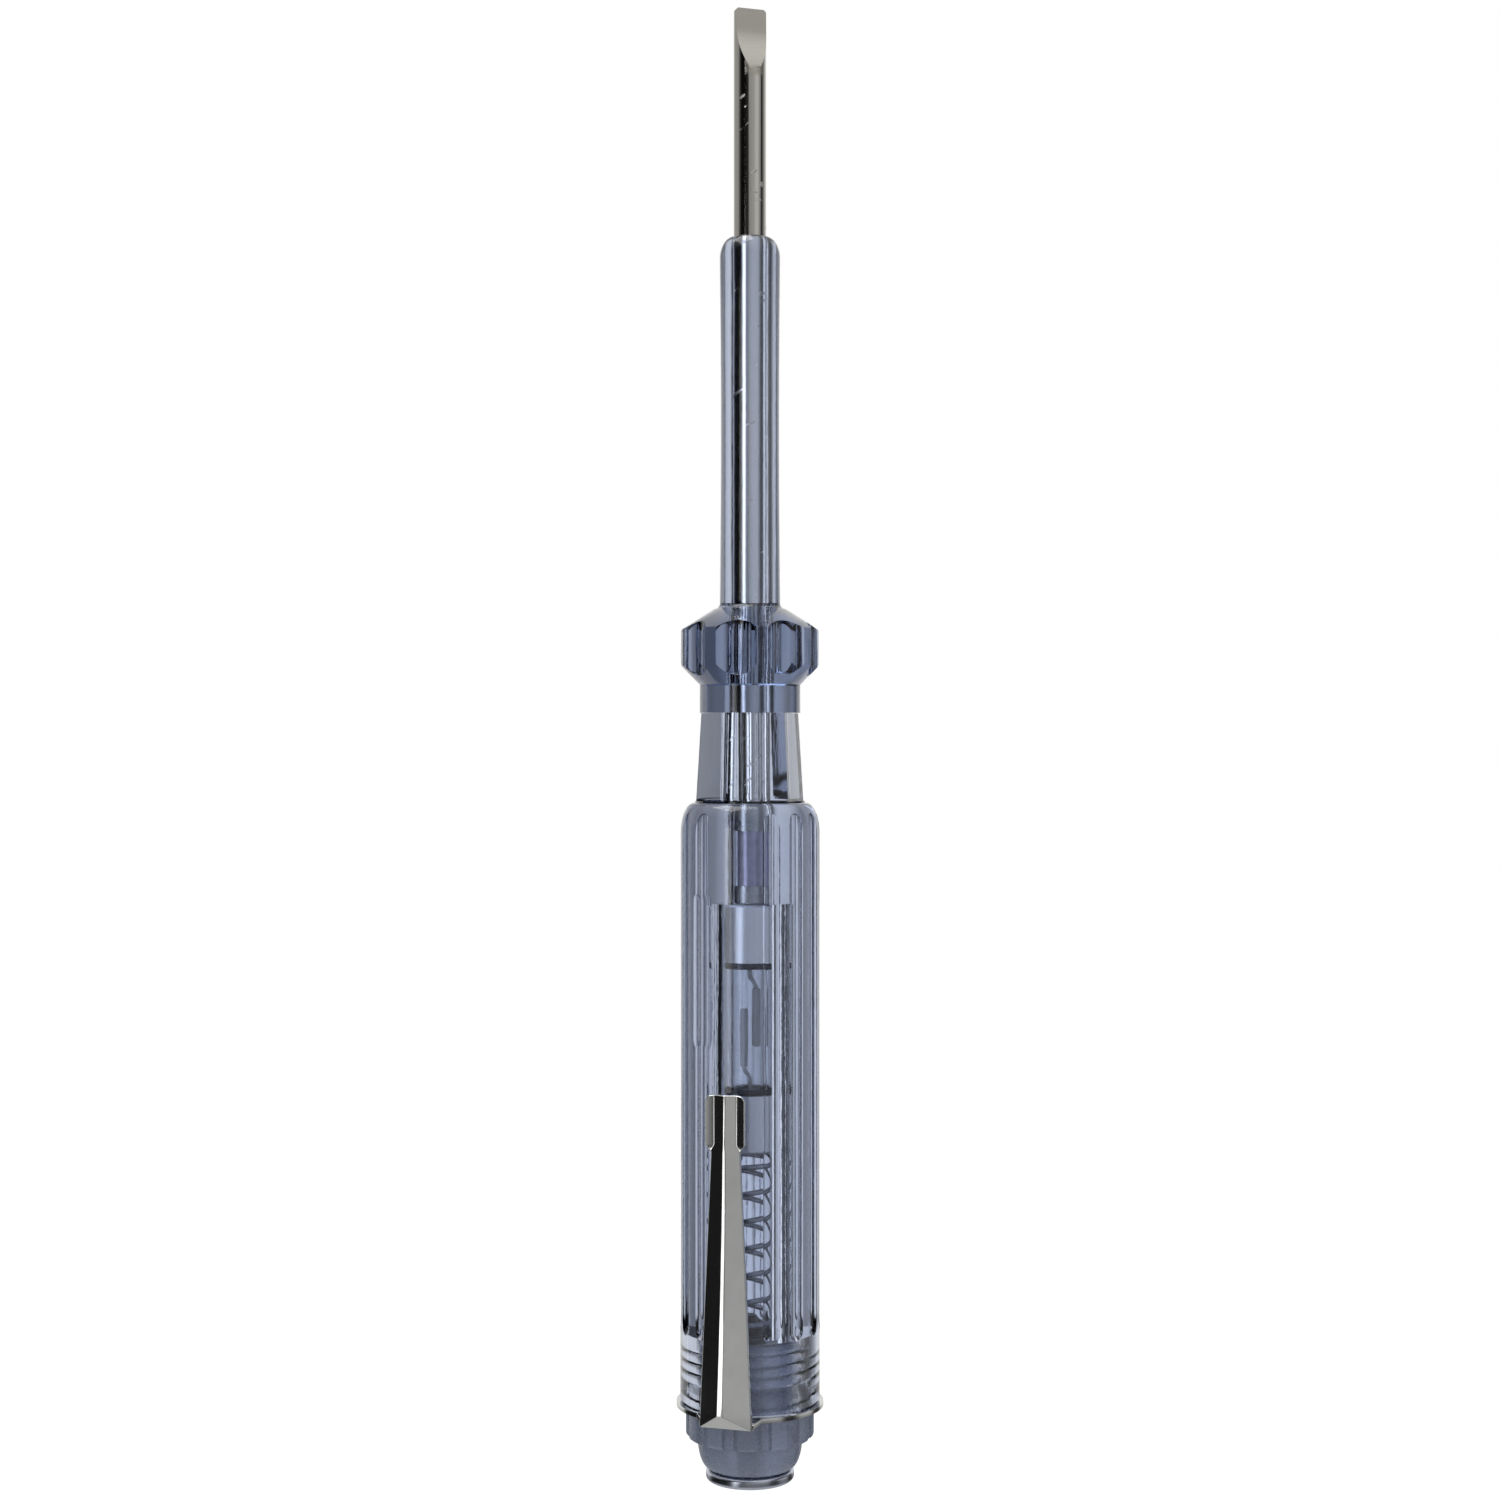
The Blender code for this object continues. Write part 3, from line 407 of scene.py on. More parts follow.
# Handle: the same acetate in one moulding, with a flat-sided neck, a fluted barrel, a bare panel beside
# the clip, a stepped bore for the stack, and a 1 mm thread for the cap at its rear end.
BARREL_RADIUS = 0.00665
BARREL_LENGTH = 0.05385
RIM_CHAMFER = 0.0002
SHOULDER_HEIGHT = 0.0029
SHOULDER_RADIUS = 0.0053
NECK_LENGTH = 0.0085
NECK_RADIUS = 0.0048
NECK_FOOT_RADIUS = 0.00525
FLAT_COUNT = 6
FLAT_DEPTH = 0.00071
FLAT_FOOT = 0.00015
FLAT_TURN = 31
PLAIN_RIM = 0.0063
FLUTE_COUNT = 14
FLUTE_WINDOW = 60.5
FLUTE_TURN = 5.5
FLUTE_RADIUS = 0.0012
FLUTE_DEPTH = 0.0004
PANEL_LENGTH = 0.0155
PANEL_WIDTH = 0.0026
PANEL_DEPTH = 0.0006
PANEL_BELOW_SHOULDER = 0.005
STACK_BORE = 0.0027
PLUG_BORE = 0.00485
THREAD_SEAT_Z = 0.014
THREAD_PITCH = 0.001
THREAD_DEPTH = 0.00014
THREAD_WIDTH = 0.84
THREAD_STEPS = 56
BORE_THREAD_START = 0.0014
BORE_THREAD_TURNS = 4
BORE_THREAD_DEPTH = 0.00009
BORE_STEP_Z = 0.05485

handle_z, neck_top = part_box("handle")[0].z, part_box("handle")[1].z
shoulder_z = handle_z + BARREL_LENGTH
neck_z = shoulder_z + SHOULDER_HEIGHT
profile = [(BLADE_BORE, neck_top), (NECK_RADIUS, neck_top), (NECK_FOOT_RADIUS, neck_z)]
shoulder_width = BARREL_RADIUS - SHOULDER_RADIUS
profile += curve_of((SHOULDER_RADIUS, shoulder_z), (shoulder_width, SHOULDER_HEIGHT), 80, 0, 14)
profile += [(BARREL_RADIUS, handle_z + RIM_CHAMFER), (BARREL_RADIUS - RIM_CHAMFER, handle_z)]
profile += [(PLUG_BORE, handle_z), (PLUG_BORE, THREAD_SEAT_Z), (STACK_BORE, THREAD_SEAT_Z)]
profile += [(STACK_BORE, BORE_STEP_Z), (BLADE_BORE, BORE_STEP_Z)]
handle = turn("handle_moulding", profile, steps=144)

flute_span = 360 - FLUTE_WINDOW
flute_start = FLUTE_TURN + FLUTE_WINDOW / 2
bar = domed_bar("flute", FLUTE_RADIUS, handle_z + PLAIN_RIM, neck_z, FLUTE_RADIUS)
seat(bar, (0, -(BARREL_RADIUS + FLUTE_RADIUS - FLUTE_DEPTH), 0))
repeat_round(bar, FLUTE_COUNT, flute_span)
carve(handle, seat(bar, turned=flute_start))

lean = math.degrees(math.atan2(NECK_FOOT_RADIUS - NECK_RADIUS, NECK_LENGTH))
inset = NECK_FOOT_RADIUS - FLAT_DEPTH
slab_top = NECK_LENGTH - FLAT_FOOT + OVERRUN
for i in range(FLAT_COUNT):
    slab = push("flat", [
        (-NECK_RADIUS, 0, 0),
        (NECK_RADIUS, 0, 0),
        (NECK_RADIUS, 0, slab_top),
        (-NECK_RADIUS, 0, slab_top),
    ], (0, -SHOULDER_RADIUS, 0))
    seat(slab, (0, -inset, neck_z + FLAT_FOOT), lean=-lean)
    carve(handle, seat(slab, turned=FLAT_TURN + 360 * i / FLAT_COUNT))

half = PANEL_WIDTH / 2
panel_radius = (half ** 2 + PANEL_DEPTH ** 2) / (2 * PANEL_DEPTH)
panel_top = shoulder_z - PANEL_BELOW_SHOULDER
bar = domed_bar("panel", panel_radius, panel_top - PANEL_LENGTH, panel_top, half)
seat(bar, (0, -(BARREL_RADIUS + panel_radius - PANEL_DEPTH), 0))
carve(handle, seat(bar, turned=flute_start + flute_span))


def thread_cutter(name, radius, bottom, turns, depth, outward):
    """A vee wound at the thread's pitch, which a Boolean cuts into a plug or a bore."""
    reach = depth if outward else -depth
    half_width = THREAD_WIDTH / 2 * THREAD_PITCH
    tooth = draw_line(name, [
        (radius - reach, 0, bottom - half_width),
        (radius + reach, 0, bottom),
        (radius - reach, 0, bottom + half_width),
        (radius - reach, 0, bottom - half_width),
    ])
    weld()
    bpy.ops.object.mode_set(mode="OBJECT")
    wind = tooth.modifiers.new("Wind", "SCREW")
    wind.axis = "Z"
    wind.screw_offset = THREAD_PITCH
    wind.iterations = turns
    wind.steps = THREAD_STEPS
    wind.render_steps = THREAD_STEPS
    bpy.ops.object.modifier_apply(modifier=wind.name)
    bpy.ops.object.mode_set(mode="EDIT")
    bpy.ops.mesh.select_all(action="DESELECT")
    bpy.ops.mesh.select_non_manifold()
    bpy.ops.mesh.edge_face_add()
    face_out()
    return tooth


thread_z = handle_z + BORE_THREAD_START
carve(handle, thread_cutter("bore_thread", PLUG_BORE, thread_z, BORE_THREAD_TURNS, BORE_THREAD_DEPTH, True))
smooth(handle)
give(handle, smoky_acetate("smoky_acetate_handle", 0.3))
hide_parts("handle")
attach(handle, "handle")


# Series resistor: a lacquered carbon rod between two tinned ferrules pressed on its ends. It rests on
# the blade's tang at one end and on the lamp's cap at the other.
RESISTOR_RADIUS = 0.0012
FERRULE_RADIUS = 0.0015
FERRULE_WALL = 0.0002
FERRULE_FLOOR = 0.0003
EDGE = 0.00012

low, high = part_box("resistor_body")
resistor = turn("resistor_rod", [
    (0, high.z),
    (RESISTOR_RADIUS - EDGE, high.z),
    (RESISTOR_RADIUS, high.z - EDGE),
    (RESISTOR_RADIUS, low.z + EDGE),
    (RESISTOR_RADIUS - EDGE, low.z),
    (0, low.z),
], steps=48, closed=False)
smooth(resistor)

# Baked lacquer with graphite in it: a dull metallic sheen, slightly mottled, with pinholes.
lacquer, tree, shader, where = new_finish("baked_resistor_lacquer")
mottle = add(tree, "TexNoise", inputs={"Vector": (where, "Object"), "Scale": 1500.0, "Detail": 4.0})
tone = add(tree, "Mix", COLOURS, {0: (mottle, 0), 6: hue("#9E9AB0"), 7: hue("#D8D4E4")})
bump = add(tree, "Bump", inputs={"Height": (mottle, 0), "Strength": 0.3, "Distance": 0.00003})
feed(tree, shader, {"Base Color": (tone, 2), "Roughness": 0.3, "Normal": (bump, 0), "Metallic": 0.6})
give(resistor, lacquer)
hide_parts("resistor_body")
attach(resistor, "handle")

# Tin plate: soft, a little cloudy, with fine marks along the draw.
tin, tree, shader, where = new_finish("tin_plate")
cloud = add(tree, "TexNoise", inputs={"Vector": (where, "Object"), "Scale": 1300.0, "Detail": 4.0})
gloss = add(tree, "MapRange", inputs={"Value": (cloud, 0), "To Min": 0.18, "To Max": 0.38})
tone = add(tree, "Mix", COLOURS, {0: (cloud, 0), 6: hue("#A7A8A6"), 7: hue("#C9CAC7")})
feed(tree, shader, {"Base Color": (tone, 2), "Roughness": (gloss, 0), "Metallic": 1.0})


def pressed_cup(name, node, radius, wall, floor, opens_up, steps=72):
    """A drawn metal cup with a rounded floor edge, where its CAD node is."""
    low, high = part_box(node)
    deep = high.z - low.z
    side = [(0, floor), (radius - wall, floor), (radius - wall, deep), (radius, deep)]
    side += curve_of((radius - wall, wall), (wall, wall), 0, -90, 6)
    side += [(0, 0)]
    profile = [(r, low.z + z if opens_up else high.z - z) for r, z in side]
    return smooth(turn(name, profile, steps=steps, closed=False))


for end, opens_up in (("front", False), ("rear", True)):
    node = f"resistor_{end}_ferrule"
    ferrule = pressed_cup(f"{end}_ferrule", node, FERRULE_RADIUS, FERRULE_WALL, FERRULE_FLOOR, opens_up, 48)
    give(ferrule, tin)
    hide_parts(node)
    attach(ferrule, "handle")


# Neon lamp: a glass tube sealed round two electrodes, cemented into two bright metal end caps. It lies
# loose in the bore, and its front cap touches the resistor.
LAMP_CAP_RADIUS = 0.00245
LAMP_CAP_WALL = 0.00025
GLASS_RADIUS = 0.00205
GLASS_WALL = 0.0004
GLASS_END = 0.0009
LEAD_HOLE = 0.0003
LEAD_RADIUS = 0.0002
ELECTRODE_RADIUS = 0.0004
ELECTRODE_OFFSET = 0.0006
ELECTRODE_LENGTH = 0.0055
ELECTRODE_TIP = 0.0002
ELECTRODE_ROOT = 0.0001
BEND_STEPS = 8

# Nickel-plated brass cap: bright, with the lathe's and the press's fine rings.
cap_plate, tree, shader, where = new_finish("bright_nickel_cap")
rings = add(tree, "Mapping", inputs={"Vector": (where, "Object"), "Scale": (0.05, 0.05, 1)})
marks = add(tree, "TexNoise", inputs={"Vector": (rings, "Vector"), "Scale": 9000.0, "Detail": 2.0})
gloss = add(tree, "MapRange", inputs={"Value": (marks, 0), "To Min": 0.26, "To Max": 0.38})
bump = add(tree, "Bump", inputs={"Height": (marks, 0), "Strength": 0.12, "Distance": 0.00002})
feed(tree, shader, {
    "Base Color": hue("#FAFAF8"), "Roughness": (gloss, 0), "Normal": (bump, 0), "Metallic": 0.5,
})
for end, opens_up in (("front", False), ("rear", True)):
    node = f"lamp_{end}_cap"
    cup = pressed_cup(f"{end}_lamp_cap", node, LAMP_CAP_RADIUS, LAMP_CAP_WALL, LAMP_CAP_WALL, opens_up)
    give(cup, cap_plate)
    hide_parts(node)
    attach(cup, "handle")

# Basing cement: dark, dull and grainy, where it was wiped off at the cap's mouth.
cement, tree, shader, where = new_finish("fired_basing_cement")
grain = add(tree, "TexNoise", inputs={"Vector": (where, "Object"), "Scale": 5200.0, "Detail": 4.0})
tone = add(tree, "Mix", COLOURS, {0: (grain, 0), 6: hue("#1D1F28"), 7: hue("#454956")})
bump = add(tree, "Bump", inputs={"Height": (grain, 0), "Strength": 0.5, "Distance": 0.00005})
feed(tree, shader, {"Base Color": (tone, 2), "Roughness": 0.7, "Normal": (bump, 0)})
for end in ("front", "rear"):
    node = f"lamp_{end}_cement"
    low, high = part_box(node)
    inner = GLASS_RADIUS + CLEARANCE
    ring = smooth(turn(f"{end}_cement_ring", [
        (inner, high.z),
        (LAMP_CAP_RADIUS - EDGE, high.z),
        (LAMP_CAP_RADIUS, high.z - EDGE),
        (LAMP_CAP_RADIUS, low.z + EDGE),
        (LAMP_CAP_RADIUS - EDGE, low.z),
        (inner, low.z),
    ], steps=72))
    give(ring, cement)
    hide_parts(node)
    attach(ring, "handle")

low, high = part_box("lamp_glass")
inner = GLASS_RADIUS - GLASS_WALL
profile = [(LEAD_HOLE, high.z)]
profile += curve_of((GLASS_RADIUS - GLASS_END, high.z - GLASS_END), (GLASS_END, GLASS_END), 90, 0, 10)
profile += curve_of((GLASS_RADIUS - GLASS_END, low.z + GLASS_END), (GLASS_END, GLASS_END), 0, -90, 10)
profile += [(LEAD_HOLE, low.z), (LEAD_HOLE, low.z + GLASS_END), (inner, low.z + GLASS_END)]
profile += [(inner, high.z - GLASS_END), (LEAD_HOLE, high.z - GLASS_END)]
glass = smooth(turn("lamp_tube", profile, steps=96))

# Drawn soda-lime tube: clear, with faint draw lines along it.
tube, tree, shader, where = new_finish("drawn_lamp_glass")
drawn = add(tree, "Mapping", inputs={"Vector": (where, "Object"), "Scale": (1, 1, 0.04)})
lines = add(tree, "TexNoise", inputs={"Vector": (drawn, "Vector"), "Scale": 1500.0, "Detail": 2.0})
bump = add(tree, "Bump", inputs={"Height": (lines, 0), "Strength": 0.25, "Distance": 0.00003})
gloss = add(tree, "MapRange", inputs={"Value": (lines, 0), "To Min": 0.08, "To Max": 0.2})
feed(tree, shader, {
    "Base Color": hue("#F1F3F6"), "Roughness": (gloss, 0), "Normal": (bump, 0),
    "Transmission Weight": 1.0, "IOR": 1.5,
})
give(glass, tube)
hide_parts("lamp_glass")
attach(glass, "handle")

# Electrodes: nickel wire inside the glass, matt where it was coated and fired.
wire, tree, shader, where = new_finish("fired_nickel_wire")
coat = add(tree, "TexNoise", inputs={"Vector": (where, "Object"), "Scale": 2600.0, "Detail": 4.0})
gloss = add(tree, "MapRange", inputs={"Value": (coat, 0), "To Min": 0.3, "To Max": 0.55})
tone = add(tree, "Mix", COLOURS, {0: (coat, 0), 6: hue("#D4D3D0"), 7: hue("#ECEAE6")})
feed(tree, shader, {"Base Color": (tone, 2), "Roughness": (gloss, 0), "Metallic": 0.35})


def drawn_wire(name, points, radii):
    """A wire as a round-bevelled path, made a mesh, with closed ends."""
    bpy.ops.object.select_all(action="DESELECT")
    bpy.ops.curve.primitive_nurbs_path_add()
    wire_piece = bpy.context.object
    wire_piece.name = name
    line = wire_piece.data
    line.splines.clear()
    route = line.splines.new("POLY")
    route.points.add(len(points) - 1)
    line.bevel_depth = max(radii)
    line.bevel_resolution = 4
    line.use_fill_caps = True
    for point, at, radius in zip(route.points, points, radii):
        point.co = (*at, 1)
        point.radius = radius / line.bevel_depth
    bpy.ops.object.convert(target="MESH")
    bpy.ops.object.mode_set(mode="EDIT")
    weld()
    face_out()
    return seat(wire_piece)


for end, side in (("rear", -1), ("front", 1)):
    node = f"lamp_{end}_electrode"
    low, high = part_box(node)
    far, tip = (low.z, high.z) if side < 0 else (high.z, low.z)
    foot = tip + side * ELECTRODE_LENGTH
    offset = side * ELECTRODE_OFFSET
    points = [(0, 0, far)]
    for i in range(BEND_STEPS + 1):
        share = i / BEND_STEPS
        ease = share * share * (3 - 2 * share)
        points.append((offset * ease, 0, foot + side * 2 * ELECTRODE_OFFSET * (1 - share)))
    radii = [LEAD_RADIUS] * len(points)
    points += [(offset, 0, z) for z in (foot - side * ELECTRODE_ROOT, tip + side * ELECTRODE_TIP, tip)]
    radii += [ELECTRODE_RADIUS, ELECTRODE_RADIUS, ELECTRODE_RADIUS * 0.75]
    electrode = smooth(drawn_wire(f"{end}_electrode", points, radii), 40)
    give(electrode, wire)
    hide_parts(node)
    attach(electrode, "handle")


# Contact spring: 0.5 mm hard-drawn steel wire, coiled with a closed turn at each end. It presses the lamp
# and the resistor against the blade, and would stretch when the cap is unscrewed; here it is built at one
# length.
SPRING_RADIUS = 0.00225
SPRING_WIRE = 0.00025
SPRING_TURNS = 5.75
END_TURNS = 1
END_PITCH = 0.00095
POINTS_PER_TURN = 32

low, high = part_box("contact_spring")
bottom, top = low.z + SPRING_WIRE, high.z - SPRING_WIRE
turns = SPRING_TURNS + 2 * END_TURNS
pitch = (top - bottom - 2 * END_TURNS * END_PITCH) / SPRING_TURNS
count = round(turns * POINTS_PER_TURN)
points = []
for i in range(count + 1):
    at = turns * i / count
    closed_turns = min(at, END_TURNS) + max(0, at - END_TURNS - SPRING_TURNS)
    height = bottom + closed_turns * END_PITCH + (at - closed_turns) * pitch
    angle = math.tau * at
    points.append((SPRING_RADIUS * math.cos(angle), SPRING_RADIUS * math.sin(angle), height))
spring = smooth(drawn_wire("spring_coil", points, [SPRING_WIRE] * len(points)), 40)

# Hard-drawn spring wire: dark grey, with drawing soap burnt on and brighter where it has rubbed.
steel, tree, shader, where = new_finish("hard_drawn_spring_wire")
soap = add(tree, "TexNoise", inputs={"Vector": (where, "Object"), "Scale": 1700.0, "Detail": 3.0})
tone = add(tree, "Mix", COLOURS, {0: (soap, 0), 6: hue("#7C7D84"), 7: hue("#B4B5BA")})
gloss = add(tree, "MapRange", inputs={"Value": (soap, 0), "To Min": 0.2, "To Max": 0.42})
feed(tree, shader, {"Base Color": (tone, 2), "Roughness": (gloss, 0), "Metallic": 1.0})
give(spring, steel)
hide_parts("contact_spring")
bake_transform(spring)


# Screw cap: the same acetate, thicker and so darker: dome, notched grip flange, collar and threaded plug,
# with a hole along its axis for the touch disc's stem.
DOME_HEIGHT = 0.0029
DOME_FOOT = 0.0039
DOME_RADIUS = 0.005
FLANGE_HEIGHT = 0.0029
FLANGE_RADIUS = 0.0061
FLANGE_EDGE = 0.0005
NOTCH_COUNT = 12
NOTCH_RADIUS = 0.0008
NOTCH_DEPTH = 0.00065
NOTCH_DOME = 0.0002
COLLAR_LENGTH = 0.0025
COLLAR_RADIUS = 0.0045
PLUG_RADIUS = 0.0047
PLUG_CHAMFER = 0.0004
PLUG_THREAD_START = 0.0004
PLUG_THREAD_TURNS = 3
PAINTED_PLUG_LIGHT_BLEND = 0.0008
STEM_HOLE = 0.0009

cap_z, plug_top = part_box("screw_cap")[0].z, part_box("screw_cap")[1].z
flange_z = cap_z + DOME_HEIGHT
flange_top = flange_z + FLANGE_HEIGHT
plug_z = flange_top + COLLAR_LENGTH
edge_z = flange_z + FLANGE_EDGE
profile = [(STEM_HOLE, plug_top), (PLUG_RADIUS - PLUG_CHAMFER, plug_top)]
profile += [(PLUG_RADIUS, plug_top - PLUG_CHAMFER), (PLUG_RADIUS, plug_z)]
profile += [(COLLAR_RADIUS, plug_z), (COLLAR_RADIUS, flange_top)]
profile += [(FLANGE_RADIUS - EDGE, flange_top), (FLANGE_RADIUS, flange_top - EDGE)]
profile += curve_of((FLANGE_RADIUS - FLANGE_EDGE, edge_z), (FLANGE_EDGE, FLANGE_EDGE), 0, -90, 8)
profile += [(DOME_RADIUS, flange_z)]
profile += curve_of((DOME_FOOT, flange_z), (DOME_RADIUS - DOME_FOOT, DOME_HEIGHT), -10, -90, 16)
profile += [(STEM_HOLE, cap_z)]
cap = turn("cap_moulding", profile, steps=144)
bar = domed_bar("notch", NOTCH_RADIUS, flange_z - OVERRUN, flange_top + OVERRUN, NOTCH_DOME, 32)
seat(bar, (0, -(FLANGE_RADIUS + NOTCH_RADIUS - NOTCH_DEPTH), 0))
carve(cap, repeat_round(bar, NOTCH_COUNT, 360 * (NOTCH_COUNT - 1) / NOTCH_COUNT))
thread_z = plug_z + PLUG_THREAD_START
carve(cap, thread_cutter("plug_thread", PLUG_RADIUS, thread_z, PLUG_THREAD_TURNS, THREAD_DEPTH, False))
smooth(cap)

# The cap's plug takes light through the handle's wall all round, so its tone is painted paler than the dome.
cap_finish = smoky_acetate("smoky_acetate_cap", 0.7, 130.0, (0.26, 0.38), 0.62, ("#868FA5", "#969FB4"))
tree = cap_finish.node_tree
shader = tree.nodes["Principled BSDF"]
where = add(tree, "TexCoord")
up = add(tree, "SeparateXYZ", inputs={"Vector": (where, "Object")})
# Painted light: above the flange the plug's tone is mixed to a paler one.
painted_plug_light = add(tree, "MapRange", inputs={
    "Value": (up, "Z"), "From Min": flange_top, "From Max": flange_top + PAINTED_PLUG_LIGHT_BLEND,
})
dyed = shader.inputs["Base Color"].links[0].from_node
tone = add(tree, "Mix", COLOURS, {0: (painted_plug_light, 0), 6: (dyed, 2), 7: hue("#E6EBF6")})
feed(tree, shader, {"Base Color": (tone, 2)})
give(cap, cap_finish)
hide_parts("screw_cap")
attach(cap, "cap")


# Contact nose: turned brass, pressed on the stem's inner end. Its cone centres the spring, and its base
# carries it.
NOSE_RADIUS = 0.0025
NOSE_BASE = 0.0005
NOSE_CONE = 0.0019
NOSE_TIP = 0.0007
NOSE_BORE = 0.0012

low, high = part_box("contact_nose")
nose = smooth(turn("nose_turning", [
    (0, high.z),
    (NOSE_TIP - EDGE, high.z),
    (NOSE_TIP, high.z - EDGE),
    (NOSE_CONE, low.z + NOSE_BASE),
    (NOSE_RADIUS - EDGE, low.z + NOSE_BASE),
    (NOSE_RADIUS, low.z + NOSE_BASE - EDGE),
    (NOSE_RADIUS, low.z + EDGE),
    (NOSE_RADIUS - EDGE, low.z),
    (STEM_HOLE, low.z),
    (STEM_HOLE, low.z + NOSE_BORE),
    (0, low.z + NOSE_BORE),
], steps=64, closed=False))

# Turned brass, blackened: fine tool rings, brighter on their crests.
brass, tree, shader, where = new_finish("blackened_turned_brass")
rings = add(tree, "Mapping", inputs={"Vector": (where, "Object"), "Scale": (0.05, 0.05, 1)})
tool = add(tree, "TexNoise", inputs={"Vector": (rings, "Vector"), "Scale": 12000.0, "Detail": 2.0})
tarnish = add(tree, "TexNoise", inputs={"Vector": (where, "Object"), "Scale": 900.0, "Detail": 4.0})
tone = add(tree, "Mix", COLOURS, {0: (tarnish, 0), 6: hue("#4A4A4E"), 7: hue("#77736C")})
gloss = add(tree, "MapRange", inputs={"Value": (tool, 0), "To Min": 0.22, "To Max": 0.45})
bump = add(tree, "Bump", inputs={"Height": (tool, 0), "Strength": 0.2, "Distance": 0.00002})
feed(tree, shader, {"Base Color": (tone, 2), "Roughness": (gloss, 0), "Normal": (bump, 0), "Metallic": 1.0})
give(nose, brass)
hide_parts("contact_nose")
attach(nose, "cap")


# Touch contact: a nickel-plated steel disc with a stem, pressed through the cap. The finger touches it
# while the blade's tip is on the live part.
DISC_RADIUS = 0.0042
DISC_THICKNESS = 0.0011
DISC_EDGE = 0.0004
STEM_RADIUS = 0.0008

stem_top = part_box("touch_contact")[1].z
profile = [(0, stem_top), (STEM_RADIUS - EDGE, stem_top), (STEM_RADIUS, stem_top - EDGE)]
profile += [(STEM_RADIUS, DISC_THICKNESS)]
profile += curve_of((DISC_RADIUS - DISC_EDGE, DISC_THICKNESS - DISC_EDGE), (DISC_EDGE, DISC_EDGE), 90, 0, 8)
profile += curve_of((DISC_RADIUS - DISC_EDGE, DISC_EDGE), (DISC_EDGE, DISC_EDGE), 0, -90, 8)
profile += [(0, 0)]
disc = smooth(turn("touch_disc", profile, steps=120, closed=False))

# Nickel plate on a turned disc: bright, faintly blue-grey, with fine rings and rubbed scratches.
nickel, tree, shader, where = new_finish("bright_nickel_disc")
radius_of = add(tree, "VectorMath", {"operation": "LENGTH"}, {0: (where, "Object")})
rings = add(tree, "TexNoise", {"noise_dimensions": "1D"}, {"W": (radius_of, "Value"), "Scale": 16000.0})
rub = add(tree, "TexNoise", inputs={"Vector": (where, "Object"), "Scale": 1400.0, "Detail": 6.0})
gloss = add(tree, "MapRange", inputs={"Value": (rub, 0), "To Min": 0.16, "To Max": 0.34})
height = add(tree, "Math", {"operation": "ADD"}, {0: (rings, 0), 1: (rub, 0)})
bump = add(tree, "Bump", inputs={"Height": (height, 0), "Strength": 0.12, "Distance": 0.00002})
feed(tree, shader, {
    "Base Color": hue("#C6CBDC"), "Roughness": (gloss, 0), "Normal": (bump, 0), "Metallic": 1.0,
})
give(disc, nickel)
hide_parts("touch_contact")
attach(disc, "cap")


# Pocket clip's ring: stamped 0.45 mm steel sheet, clamped between the cap's flange and the handle's rim,
# with a web that drops outside the flange to the leaf's foot.
SHEET = 0.00045
RING_RADIUS = 0.007
RING_HOLE = 0.00485
WEB_WIDTH = 0.0064
WEB_Y = 0.0062
CLIP_DROP = 0.0005
LEAF_FOOT = 0.0051
STAMPED_EDGE = 0.00009
RING_STEPS = 96

ring_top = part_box("clip_ring")[1].z
ring_z = ring_top - SHEET
web_end = -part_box("clip_ring")[0].y
half = WEB_WIDTH / 2
opening = math.asin(half / RING_RADIUS)
outline = []
for i in range(RING_STEPS + 1):
    angle = opening + (math.tau - 2 * opening) * i / RING_STEPS
    outline.append((RING_RADIUS * math.sin(angle), -RING_RADIUS * math.cos(angle), ring_z))
outline += [(-half, -WEB_Y, ring_z), (half, -WEB_Y, ring_z)]
ring = draw_line("clip_ring_stamping", outline + [outline[0]])
weld()
bpy.ops.mesh.edge_face_add()
bpy.ops.mesh.select_all(action="DESELECT")
bpy.ops.object.mode_set(mode="OBJECT")
for edge in ring.data.edges:
    ends = [ring.data.vertices[v].co for v in edge.vertices]
    edge.select = all(abs(co.y + WEB_Y) < MERGE for co in ends)
bpy.ops.object.mode_set(mode="EDIT")
bpy.ops.mesh.select_mode(type="EDGE")
extrude((0, WEB_Y - web_end, -CLIP_DROP))
bpy.ops.transform.resize(value=(LEAF_FOOT / WEB_WIDTH, 1, 1), center_override=(0, 0, 0))
bpy.ops.mesh.select_mode(type="VERT")
bpy.ops.mesh.select_all(action="SELECT")
extrude((0, 0, SHEET))
face_out()
punch = turn("punch", [
    (0, ring_top + OVERRUN),
    (RING_HOLE, ring_top + OVERRUN),
    (RING_HOLE, ring_z - OVERRUN),
    (0, ring_z - OVERRUN),
], steps=RING_STEPS, closed=False)
carve(ring, punch)


def ease_edges(piece, width, degrees, segments=3):
    """Rounds the sharp edges, as tumbling and plating do to a stamping."""
    hold(piece)
    edges = piece.modifiers.new("Ease", "BEVEL")
    edges.width = width
    edges.segments = segments
    edges.limit_method = "ANGLE"
    edges.angle_limit = math.radians(degrees)
    bpy.ops.object.modifier_apply(modifier=edges.name)
    smooth(piece, 60)
    flats = piece.modifiers.new("Flats", "WEIGHTED_NORMAL")
    flats.keep_sharp = True
    bpy.ops.object.modifier_apply(modifier=flats.name)
    return piece


ease_edges(ring, STAMPED_EDGE, 40)

